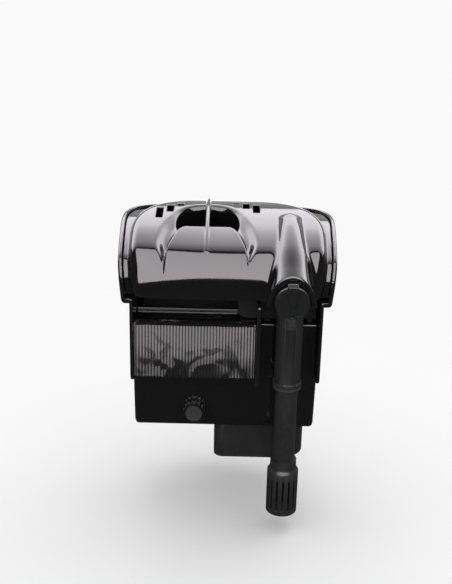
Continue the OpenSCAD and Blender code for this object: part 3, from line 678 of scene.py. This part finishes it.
def bracket_field(x, y, z):
    """Cradle under the elbow: open pockets between its ribs, and two feet."""
    x0, x1 = bracket_lo[0], bracket_hi[0]
    view = round_max(x0 - x, 6.9 - z, 9)
    view = round_max(np.maximum(view, x - x1), z - bracket_hi[2], 1.5)
    front, rear = bracket_lo[1], bracket_hi[1]
    body = round_max(view, slab(y, front, rear), 1.2)
    body = round_max(body, cradle_r - np.hypot(x - tube_x, z - elbow_z), 0.8)
    for left in (32, 72):
        body = np.maximum(body, -block(x, y, z, (left, front + 3, 10), (left + 10, rear - 3, 60)))
    for left in (36, 76):
        foot = block(x, y, z, (left, front + 2, bracket_lo[2]), (left + 6, rear - 2, 8))
        body = np.minimum(body, foot)
    return body


bracket = sculpt("cradle", bracket_field, bracket_lo, bracket_hi, 0.8)
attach(bracket, "case")
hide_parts("tube_bracket")

# ---------------------------------------------------------------- cord

coil_centre = np.array([0, box_back + 8, -69])
coil_outer, coil_inner = 57, 39
coil_turns = 2.75
cord_r = 2.9
cord_x, cord_z = 20, -140           # where it leaves the motor


def spiral(t):
    turn = np.radians(-90 + 360 * coil_turns * t)
    reach = coil_outer - (coil_outer - coil_inner) * t
    return np.stack([reach * np.cos(turn), np.zeros_like(t), reach * np.sin(turn)], 1) + coil_centre


coil = spiral(np.linspace(0, 1, 420))
lead_in = bezier([[cord_x, pump_y + 37, cord_z], [cord_x, coil_centre[1] + 14, cord_z],
                  [-36, coil_centre[1], -124], coil[0]], 60)
lead_out = bezier([coil[-1], coil[-1] - [0, 0, 20], coil_centre - [32, 0, 2], coil_centre - [16, 0, 0]], 40)
cord_path = np.vstack([[[cord_x, pump_y + 28, cord_z]], lead_in, coil[1:], lead_out[1:]])
cord = sweep("cord", cord_path, cord_r, 14)
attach(cord, "case")
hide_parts("power_cord")

# ---------------------------------------------------------------- filter media


def ripple(seed, low, high, count=9):
    """Smooth random waves with lengths between low and high, about -1 to 1."""
    pick = random.Random(seed)
    waves = []
    for _ in range(count):
        length = low * (high / low) ** pick.random()
        way = np.array([pick.gauss(0, 1) for _ in range(3)])
        waves.append((way / np.linalg.norm(way) * 2 * math.pi / length, pick.uniform(0, 2 * math.pi)))

    def at(x, y, z):
        return sum(np.sin(w[0] * x + w[1] * y + w[2] * z + p) for w, p in waves) / math.sqrt(count)

    return at


def scatter_hash(i, j, k, salt):
    v = np.sin(i * 127.1 + j * 311.7 + k * 74.7 + salt * 53.3) * 43758.5453
    return v - np.floor(v)


def granules(x, y, z, cell):
    """Distance to the nearest of a jittered lattice of granules, less a size of its own."""
    x, y, z = np.broadcast_arrays(x / cell, y / cell, z / cell)
    i0, j0, k0 = np.floor(x), np.floor(y), np.floor(z)
    best = np.full(x.shape, 1e3)
    for di in (-1, 0, 1):
        for dj in (-1, 0, 1):
            for dk in (-1, 0, 1):
                i, j, k = i0 + di, j0 + dj, k0 + dk
                at = [c + 0.5 + 0.55 * (scatter_hash(i, j, k, s) - 0.5) for s, c in enumerate((i, j, k))]
                flat = 0.85 + 0.3 * scatter_hash(i, j, k, 3)
                far = np.sqrt((x - at[0])**2 + ((y - at[1]) * flat)**2 + (z - at[2])**2)
                best = np.minimum(best, far - 0.36 - 0.16 * scatter_hash(i, j, k, 4))
    return best * cell


floss_lo, floss_hi = span("floss_pad")
carbon_lo, carbon_hi = span("carbon_bed")
sponge_lo, sponge_hi = span("bio_sponge")
fibre_waves = ripple(3, 1.6, 5)
felt_waves = ripple(4, 9, 30)
pore_waves = ripple(5, 2.2, 4.2, 14)
sag_waves = ripple(6, 25, 60)


def floss_field(x, y, z):
    """Felt pad: crowned, thin where its edges are pressed into the frame, lumpy all over."""
    middle = (floss_lo[1] + floss_hi[1]) / 2
    inset = least(x - floss_lo[0], floss_hi[0] - x, z - floss_lo[2], floss_hi[2] - z)
    thick = 0.9 + 1.7 * smooth_step(inset / 9)
    rib = np.abs(np.mod(x - floss_lo[0] - 18.5 + 11.5, 23) - 11.5)
    thick = thick - 0.5 * np.exp(-(rib / 3.0)**2)
    bumps = 0.16 * fibre_waves(x, y * 0.3, z) + 0.22 * felt_waves(x, 0, z)
    face = np.abs(y - middle) - thick - bumps
    edge = 0.9 - inset + 0.5 * felt_waves(x, 0, z)
    return round_max(face, edge, 0.8)


def sponge_field(x, y, z):
    """Foam block: faces crowned, sides pulled in between the corners, open pores cut in."""
    lo, hi = sponge_lo + 0.9, sponge_hi - 0.9
    u, v, w = ((p - (a + b) / 2) / ((b - a) / 2) for p, a, b in zip((x, y, z), lo, hi))
    pull = 1.4 * (1 - np.clip(u * u, 0, 1)) * np.clip(v * v, 0, 1)
    crown = 1.0 * np.clip(1 - u**4, 0, 1) * np.clip(1 - v**4, 0, 1)
    half = (hi[2] - lo[2]) / 2
    top = (w - 1) * half + 1.0 - crown - 0.35 * sag_waves(x, y, 0)
    under = (-w - 1) * half
    sides = round_max(slab(x, lo[0], hi[0]), slab(y, lo[1], hi[1]) + pull, 3)
    d = round_max(sides, np.maximum(top, under), 2.4)
    pores = np.maximum(pore_waves(x, y, z) - 0.35, 0)
    return d + 0.9 * pores


def carbon_field(x, y, z):
    """Loose granules on a plain core, cut off at the cell's walls."""
    core = block(x, y, z, carbon_lo + 1.5, carbon_hi - 1.5, 0.6)
    near = block(x, y, z, carbon_lo + 0.3, carbon_hi - 0.3, 0.8)
    return np.minimum(core, np.maximum(granules(x, y, z, 2.7), near))


media = {
    "floss_felt": ("floss_pad", floss_field, floss_lo, floss_hi, 0.75, "floss_white"),
    "foam_block": ("bio_sponge", sponge_field, sponge_lo, sponge_hi, 0.8, "sponge_blue"),
    "carbon_granules": ("carbon_bed", carbon_field, carbon_lo, carbon_hi, 0.75, "carbon_black"),
}
pieces = {
    "lid": lid,
    "hull": hull,
    "collar": collar,
    "panel": panel,
    "knob": knob,
    "bracket": bracket,
    "cord": cord,
}
for name, (node, field, lo, hi, step, slot) in media.items():
    piece = sculpt(name, field, lo, hi, step)
    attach(piece, "case")
    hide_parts(node)
    pieces[name] = piece

# ---------------------------------------------------------------- softened edges of the CAD nodes


sharp_angle = math.radians(35)


def soften(node, width):
    """Rounds a CAD node's sharp edges with a small bevel."""
    obj = frame["nodes"][node]
    weld = obj.modifiers.new("weld", "WELD")
    weld.merge_threshold = 1e-6
    bevel = obj.modifiers.new("bevel", "BEVEL")
    bevel.width = width * MM
    bevel.segments = 2
    bevel.limit_method = "ANGLE"
    bevel.angle_limit = sharp_angle
    bevel.harden_normals = True
    bevel.use_clamp_overlap = True


edge_widths = {
    "intake_elbow": 0.4, "valve_shutter": 0.3, "intake_tube": 0.4, "extension_tube": 0.3, "tube_seal": 0.4,
    "strainer": 0.35, "impeller_cover": 0.4, "impeller": 0.25, "rotor_magnet": 0.4, "rotor_shaft": 0.2,
    "lower_bush": 0.4, "upper_bush": 0.3, "motor_housing": 0.8, "motor_base": 0.5, "motor_screws": 0.25,
    "stator_core": 0.3, "stator_coils": 1.2, "strain_relief": 0.4, "cord_tie": 0.4, "plug_body": 1.4,
    "plug_pins": 0.3, "cartridge_frame": 0.5, "media_basket": 0.4, "ceramic_rings": 0.5, "level_wheel": 0.5,
    "level_pad": 0.5,
}
for node, width in edge_widths.items():
    soften(node, width)

# ---------------------------------------------------------------- materials


class Graph:
    """Short way to write a material's node tree."""

    def __init__(self, name):
        self.material = bpy.data.materials.new(name)
        self.material.use_nodes = True
        self.tree = self.material.node_tree
        self.shader = self.tree.nodes["Principled BSDF"]
        self.where = self.add("ShaderNodeTexCoord").outputs["Object"]

    def add(self, kind, inputs=None, **settings):
        node = self.tree.nodes.new(kind)
        for key, value in settings.items():
            setattr(node, key, value)
        for key, value in (inputs or {}).items():
            self.put(node.inputs[key], value)
        return node

    def put(self, socket, value):
        if isinstance(value, bpy.types.NodeSocket):
            self.tree.links.new(value, socket)
        else:
            socket.default_value = value

    def noise(self, scale, detail=4, stretch=(1, 1, 1), distortion=0.0):
        place = self.add("ShaderNodeMapping", {"Vector": self.where, "Scale": stretch}).outputs[0]
        inputs = {"Vector": place, "Scale": scale, "Detail": detail, "Distortion": distortion}
        return self.add("ShaderNodeTexNoise", inputs).outputs["Fac"]

    def cells(self, scale, feature="F1"):
        inputs = {"Vector": self.where, "Scale": scale}
        return self.add("ShaderNodeTexVoronoi", inputs, feature=feature).outputs["Distance"]

    def bands(self, scale, direction, distortion=0.0):
        inputs = {"Vector": self.where, "Scale": scale, "Distortion": distortion}
        return self.add("ShaderNodeTexWave", inputs, bands_direction=direction).outputs["Fac"]

    def range(self, value, lo, hi, to_lo=0.0, to_hi=1.0):
        inputs = {"Value": value, "From Min": lo, "From Max": hi, "To Min": to_lo, "To Max": to_hi}
        return self.add("ShaderNodeMapRange", inputs).outputs[0]

    def math(self, operation, a, b=0.0):
        return self.add("ShaderNodeMath", {0: a, 1: b}, operation=operation).outputs[0]

    def blend(self, factor, a, b):
        node = self.add("ShaderNodeMix", data_type="RGBA")
        self.put(node.inputs[0], factor)
        self.put(node.inputs[6], a)
        self.put(node.inputs[7], b)
        return node.outputs[2]

    def edges(self):
        """1 on convex edges, 0 on faces."""
        point = self.add("ShaderNodeNewGeometry").outputs["Pointiness"]
        return self.range(point, 0.51, 0.57)

    def upward(self):
        normal = self.add("ShaderNodeNewGeometry").outputs["Normal"]
        return self.add("ShaderNodeSeparateXYZ", {0: normal}).outputs["Z"]

    def bump(self, height, strength, depth, after=None):
        inputs = {"Height": height, "Strength": strength, "Distance": depth * MM}
        if after is not None:
            inputs["Normal"] = after
        return self.add("ShaderNodeBump", inputs).outputs[0]

    def finish(self, **inputs):
        for key, value in inputs.items():
            self.put(self.shader.inputs[key.replace("_", " ")], value)
        return self.material


def rgba(colour, gain=1.0):
    return tuple(min(1.0, c * gain) for c in colour) + (1.0,)


def moulded(name, base, rough, grain=0.25, grain_scale=2600, wave=0.0, coat=0.0, dust=0.03, worn=1.6):
    """Moulded plastic or rubber: fine grain, patchy sheen, hairline scratches, pale edges, dust."""
    g = Graph(name)
    patch = g.noise(38, 3)
    streak = g.range(g.noise(160, 6, (9, 1, 1), 1.5), 0.62, 0.74)
    smear = g.range(g.noise(14, 5, (1, 2.5, 1), 2.0), 0.5, 0.75)
    wear = g.math("MULTIPLY", g.edges(), g.range(g.noise(240, 5), 0.35, 0.65, 0.25, 1.0))
    settle = g.math("MULTIPLY", g.range(g.upward(), 0.3, 1.0), g.range(g.noise(520, 6), 0.55, 0.8))
    colour = g.blend(patch, rgba(base, 0.88), rgba(base, 1.14))
    colour = g.blend(g.math("MULTIPLY", wear, 0.45), colour, rgba([c * worn + 0.01 for c in base]))
    colour = g.blend(g.math("MULTIPLY", settle, dust), colour, (0.55, 0.53, 0.5, 1.0))
    roughness = g.range(patch, 0.3, 0.7, rough * 0.86, rough * 1.14)
    roughness = g.math("ADD", roughness, g.math("MULTIPLY", streak, 0.05))
    roughness = g.math("ADD", roughness, g.math("MULTIPLY", smear, 0.03))
    roughness = g.math("ADD", roughness, g.math("MULTIPLY", wear, 0.12))
    normal = g.bump(g.noise(grain_scale, 3), grain, 0.08)
    normal = g.bump(streak, 0.08, 0.02, normal)
    if wave:
        normal = g.bump(g.noise(38, 1, (1, 1, 0.6), 0.8), 1.0, wave, normal)
    return g.finish(Base_Color=colour, Roughness=roughness, Normal=normal, Coat_Weight=coat,
                    Coat_Roughness=0.06)


def brushed(name, base, rough, direction=(1, 1, 60), bands=None):
    """Drawn or laminated metal, with oil stains."""
    g = Graph(name)
    grain = g.noise(700, 5, direction)
    stain = g.range(g.noise(60, 5, distortion=1.0), 0.5, 0.75)
    colour = g.blend(grain, rgba(base, 0.8), rgba(base, 1.12))
    colour = g.blend(g.math("MULTIPLY", stain, 0.35), colour, rgba(base, 0.45))
    roughness = g.range(grain, 0.3, 0.7, rough * 0.7, rough * 1.3)
    roughness = g.math("ADD", roughness, g.math("MULTIPLY", stain, 0.12))
    normal = g.bump(grain, 0.3, 0.03)
    if bands:
        normal = g.bump(g.bands(bands[0], bands[1]), 0.9, 0.12, normal)
    return g.finish(Base_Color=colour, Roughness=roughness, Metallic=1.0, Normal=normal)


def winding(name, base):
    """Enamelled copper wire wound in layers."""
    g = Graph(name)
    turns = g.bands(1100, "X", 0.25)
    shade = g.noise(140, 4)
    # Painted shade: each turn is coloured dark on one side and light on the other, standing in for the
    # shading of the round wire between the turns.
    colour = g.blend(turns, rgba(base, 0.35), rgba(base, 1.1))
    colour = g.blend(g.range(shade, 0.45, 0.75, 0, 0.5), colour, rgba(base, 0.6))
    normal = g.bump(turns, 1.0, 0.25)
    roughness = g.range(shade, 0, 1, 0.22, 0.4)
    return g.finish(Base_Color=colour, Roughness=roughness, Metallic=0.9, Normal=normal, Coat_Weight=0.6)


def felt(name, base):
    """Spun polyester: crossing fibres that catch the light, slightly soiled where the water enters."""
    g = Graph(name)
    along = g.noise(900, 6, (1, 1, 0.12), 2.5)
    across = g.noise(900, 6, (0.12, 1, 1), 2.5)
    fibre = g.math("MAXIMUM", along, across)
    soil = g.range(g.noise(22, 5), 0.45, 0.8, 0, 0.35)
    colour = g.blend(g.range(fibre, 0.4, 0.7), rgba(base, 0.62), rgba(base, 1.08))
    colour = g.blend(soil, colour, (0.42, 0.36, 0.26, 1.0))
    normal = g.bump(fibre, 0.9, 0.5)
    return g.finish(Base_Color=colour, Roughness=0.92, Normal=normal, Sheen_Weight=0.5,
                    Subsurface_Weight=0.15, Subsurface_Radius=(0.003, 0.003, 0.003))


def foam(name, base):
    """Open-cell foam: round pores painted dark as shade inside them, and thin walls between them painted
    light as lit.
    """
    g = Graph(name)
    large = g.cells(620, "DISTANCE_TO_EDGE")
    small = g.cells(1500, "DISTANCE_TO_EDGE")
    walls = g.math("MAXIMUM", g.range(large, 0.0, 0.16, 1, 0), g.range(small, 0.0, 0.12, 0.7, 0))
    # Painted shade in the pores and painted light on the walls between them.
    colour = g.blend(walls, rgba(base, 0.25), rgba(base, 1.5))
    colour = g.blend(g.range(g.noise(30, 5), 0.5, 0.8, 0, 0.3), colour, (0.16, 0.13, 0.08, 1.0))
    normal = g.bump(walls, 1.0, 0.6)
    return g.finish(Base_Color=colour, Roughness=0.9, Normal=normal, Sheen_Weight=0.25)


def mineral(name, base, rough, pit_scale, speck, specular=0.5):
    """Sintered or crushed material: pits, specks and cloudy colour."""
    g = Graph(name)
    pits = g.range(g.cells(pit_scale), 0.0, 0.35)
    cloud = g.noise(90, 6)
    specks = g.range(g.noise(2600, 2), 0.62, 0.7)
    colour = g.blend(cloud, rgba(base, 0.7), rgba(base, 1.2))
    colour = g.blend(g.math("MULTIPLY", specks, 0.6), colour, rgba(speck))
    colour = g.blend(g.math("MULTIPLY", g.edges(), 0.35), colour, rgba(base, 1.5))
    normal = g.bump(pits, 0.7, 0.25)
    normal = g.bump(g.noise(1800, 5), 0.5, 0.15, normal)
    roughness = g.range(cloud, 0, 1, rough * 0.85, rough * 1.15)
    return g.finish(Base_Color=colour, Roughness=roughness, Normal=normal, Specular_IOR_Level=specular)


jet, coal, soot = (0.0065, 0.0064, 0.0068), (0.008, 0.008, 0.0085), (0.014, 0.014, 0.014)
tube_grey = (0.013, 0.0142, 0.0135)
gloss = moulded("gloss_black", jet, 0.085, grain=0.02, grain_scale=900, coat=0.35, dust=0.012)
wet = moulded("wet_black", coal, 0.07, grain=0.03, wave=1.9, coat=0.8, dust=0.0)
satin = moulded("satin_grey", tube_grey, 0.33, grain=0.3, dust=0.04, worn=2.0)
knob_satin = moulded("knob_grey", tube_grey, 0.2, grain=0.12, dust=0.03, worn=2.2)
motor_black = moulded("motor_black", (0.014, 0.014, 0.015), 0.42, grain=0.4, grain_scale=1800, dust=0.05)
rubber = moulded("rubber_black", soot, 0.68, grain=0.35, grain_scale=3400, dust=0.1, worn=2.2)
cord_skin = moulded("cord_skin", (0.017, 0.017, 0.018), 0.5, grain=0.2, grain_scale=2000, dust=0.06)
nylon = moulded("nylon_dark", (0.03, 0.03, 0.033), 0.5, grain=0.3, dust=0.05)
# Near-black cartridge frame: its dark colour is partly painted shade, darkening the mouth above the
# spillway where the frame shows through.
frame_dark_as_shade = moulded("frame_dark_as_shade", (0.012, 0.012, 0.014), 0.5, grain=0.3, dust=0.03)
basket_grey = moulded("basket_grey", (0.02, 0.022, 0.021), 0.48, grain=0.35, dust=0.03)
rotor_white = moulded("rotor_white", (0.68, 0.69, 0.68), 0.34, grain=0.15, dust=0.05, worn=1.1)
ferrite = mineral("ferrite", (0.05, 0.05, 0.055), 0.55, 1500, (0.2, 0.2, 0.22))
steel = brushed("steel", (0.6, 0.61, 0.63), 0.26)
laminated = brushed("laminated_steel", (0.42, 0.43, 0.46), 0.38, (30, 30, 1), (330, "Z"))
brass = brushed("pin_brass", (0.78, 0.68, 0.42), 0.2, (60, 1, 1))
copper = winding("copper_wire", (0.72, 0.3, 0.12))
floss = felt("floss_fibre", (0.74, 0.82, 0.88))
sponge = foam("foam_blue", (0.035, 0.06, 0.11))
carbon = mineral("carbon_grain", (0.016, 0.016, 0.017), 0.5, 900, (0.12, 0.12, 0.13))
ceramic = mineral("ring_ceramic", (0.72, 0.64, 0.52), 0.85, 1100, (0.4, 0.3, 0.2), 0.3)

node_finish = {
    satin: ("intake_elbow", "valve_shutter", "intake_tube", "extension_tube", "strainer", "impeller_cover"),
    rubber: (
        "knob_o_ring", "tube_seal", "lower_bush", "upper_bush", "motor_o_ring", "strain_relief",
        "plug_body", "level_pad",
    ),
    motor_black: ("motor_housing", "motor_base"),
    steel: ("rotor_shaft", "motor_screws"),
    rotor_white: ("impeller",),
    ferrite: ("rotor_magnet",),
    laminated: ("stator_core",),
    copper: ("stator_coils",),
    nylon: ("cord_tie",),
    brass: ("plug_pins",),
    frame_dark_as_shade: ("cartridge_frame",),
    basket_grey: ("media_basket",),
    ceramic: ("ceramic_rings",),
    gloss: ("level_wheel",),
}
piece_finish = {
    "lid": gloss, "hull": gloss, "collar": gloss, "panel": wet, "knob": knob_satin, "bracket": satin,
    "cord": cord_skin, "floss_felt": floss, "foam_block": sponge, "carbon_granules": carbon,
}


def paint(obj, mat):
    if obj.material_slots:
        for slot in obj.material_slots:
            slot.material = mat
    else:
        obj.data.materials.append(mat)


for mat, nodes in node_finish.items():
    for node in nodes:
        paint(frame["nodes"][node], mat)
for name, mat in piece_finish.items():
    paint(pieces[name], mat)

# ---------------------------------------------------------------- floor, light, camera

scene = bpy.context.scene
scene.view_settings.view_transform = "Standard"
tube_slide = next(joint for joint in frame["joints"] if joint["name"] == "tube_extend")
floor_level = cad_lo[2] + tube_slide["range_m"][0] - 0.001      # just below the strainer's lowest place
bpy.ops.mesh.primitive_plane_add(size=14, location=(0, 0, floor_level))
floor = bpy.context.object
floor.name = "floor"

backdrop = 0.95                     # brightness of the white wall and of the far floor
fade_start, fade_end = 0.25, 0.9    # metres from the filter
white = (1, 1, 1, 1)


def floor_paint():
    """Pale matt floor that fades into the white wall far from the filter.
    Gloss surfaces see it darker, as they see the dark water under the real filter."""
    g = Graph("floor_paint")
    mirror_ray = g.add("ShaderNodeLightPath").outputs["Is Glossy Ray"]
    pale = g.blend(g.noise(3, 2), (0.86, 0.86, 0.86, 1), (0.9, 0.9, 0.9, 1))
    colour = g.blend(g.math("MULTIPLY", mirror_ray, 0.96), pale, (0.02, 0.02, 0.02, 1))
    away = g.add("ShaderNodeVectorMath", {0: g.where}, operation="LENGTH").outputs["Value"]
    far = g.range(away, fade_start, fade_end)
    seen = g.add("ShaderNodeLightPath").outputs["Is Camera Ray"]
    fade = g.math("MULTIPLY", far, seen)
    colour = g.blend(fade, colour, (0, 0, 0, 1))
    glow = g.math("MULTIPLY", fade, backdrop)
    return g.finish(Base_Color=colour, Roughness=0.8, Specular_IOR_Level=0.0, Emission_Color=white,
                    Emission_Strength=glow)


paint(floor, floor_paint())


def studio_world():
    """Even white sky; gloss surfaces see it bright behind the filter and dim in front of it."""
    world = bpy.data.worlds.new("studio")
    world.use_nodes = True
    tree = world.node_tree
    sky = tree.nodes["Background"]
    way = tree.nodes.new("ShaderNodeTexCoord").outputs["Generated"]
    split = tree.nodes.new("ShaderNodeSeparateXYZ")
    tree.links.new(way, split.inputs[0])
    ramp = tree.nodes.new("ShaderNodeMapRange")
    for key, value in {"From Min": 0.1, "From Max": 0.75, "To Min": 0.04, "To Max": 0.8}.items():
        ramp.inputs[key].default_value = value
    tree.links.new(split.outputs["Y"], ramp.inputs["Value"])
    mirror_ray = tree.nodes.new("ShaderNodeLightPath").outputs["Is Glossy Ray"]
    mix = tree.nodes.new("ShaderNodeMix")
    tree.links.new(mirror_ray, mix.inputs[0])
    tree.links.new(ramp.outputs[0], mix.inputs[3])
    mix.inputs[2].default_value = backdrop
    sky.inputs["Color"].default_value = white
    tree.links.new(mix.outputs[0], sky.inputs["Strength"])
    scene.world = world


studio_world()


def soft_light(name, place, target, size, radiance, colour=(1, 1, 1), mirror_only=False):
    """Rectangular lamp whose radiance runs from one value to the other across its height.
    One that is mirror_only shows in gloss surfaces and lights nothing else."""
    data = bpy.data.lights.new(name, "AREA")
    data.shape = "RECTANGLE"
    data.size, data.size_y = size
    data.energy = math.pi * size[0] * size[1]
    data.use_nodes = True
    tree = data.node_tree
    lamp = tree.nodes["Emission"]
    lamp.inputs["Color"].default_value = rgba(colour)
    ramp = tree.nodes.new("ShaderNodeMapRange")
    ramp.inputs["To Min"].default_value, ramp.inputs["To Max"].default_value = radiance
    place_on = tree.nodes.new("ShaderNodeNewGeometry").outputs["Parametric"]
    split = tree.nodes.new("ShaderNodeSeparateXYZ")
    tree.links.new(place_on, split.inputs[0])
    tree.links.new(split.outputs["Y"], ramp.inputs["Value"])
    tree.links.new(ramp.outputs[0], lamp.inputs["Strength"])
    obj = bpy.data.objects.new(name, data)
    obj.location = place
    obj.rotation_euler = (Vector(target) - Vector(place)).to_track_quat("-Z", "Y").to_euler()
    obj.visible_camera = False
    obj.visible_diffuse = not mirror_only
    scene.collection.objects.link(obj)
    return obj


heart = (0, 0.02, 0.07)
pink = (1.0, 0.93, 0.965)
lilac = (0.98, 0.935, 1.0)
key = soft_light("key", (0.1, 0.3, 1.3), heart, (1.2, 1.0), (1.2, 1.2))
key.visible_glossy = False
soft_light("ceiling_front", (0, 0.235, 1.0), (0, 0.235, 0), (4.6, 0.63), (0.9, 6.6), lilac, True)
soft_light("ceiling_rear", (0, 0.95, 1.0), (0, 0.95, 0), (4.6, 0.8), (6.6, 3.8), lilac, True)
soft_light("back_box", (0.15, 0.75, 0.0), (0.15, 0, 0.0), (0.9, 0.34), (1.0, 2.2), lilac, True)
front_box = soft_light("front_box", (0, -1.126, 1.236), heart, (2.4, 2.08), (6.2, 5.2), pink, True)
low_box = soft_light("low_box", (-0.02, -0.52, 0.05), (-0.02, 0, 0.05), (0.6, 0.4), (2.9, 2.9), pink, True)


def link_panel(lamp, state):
    """Lets a lamp shine on the wet panel only, or on everything but the panel."""
    things = bpy.data.collections.new(lamp.name + "_receivers")
    things.objects.link(panel)
    things.collection_objects[0].light_linking.link_state = state
    lamp.light_linking.receiver_collection = things


link_panel(low_box, "INCLUDE")
link_panel(front_box, "EXCLUDE")

elevation = math.radians(19)
roll = math.radians(1.3)
distance = 0.81
aim = Vector((-0.0008, -0.010, 0.033))
away = Vector((0, -math.cos(elevation), math.sin(elevation)))
camera_data = bpy.data.cameras.new("camera")
camera_data.sensor_fit = "AUTO"
camera_data.lens = 53.6
camera = bpy.data.objects.new("camera", camera_data)
camera.location = aim + away * distance
camera.rotation_mode = "QUATERNION"
level = (-away).to_track_quat("-Z", "Y")
camera.rotation_quaternion = level @ Matrix.Rotation(roll, 3, "Z").to_quaternion()
scene.collection.objects.link(camera)
scene.camera = camera
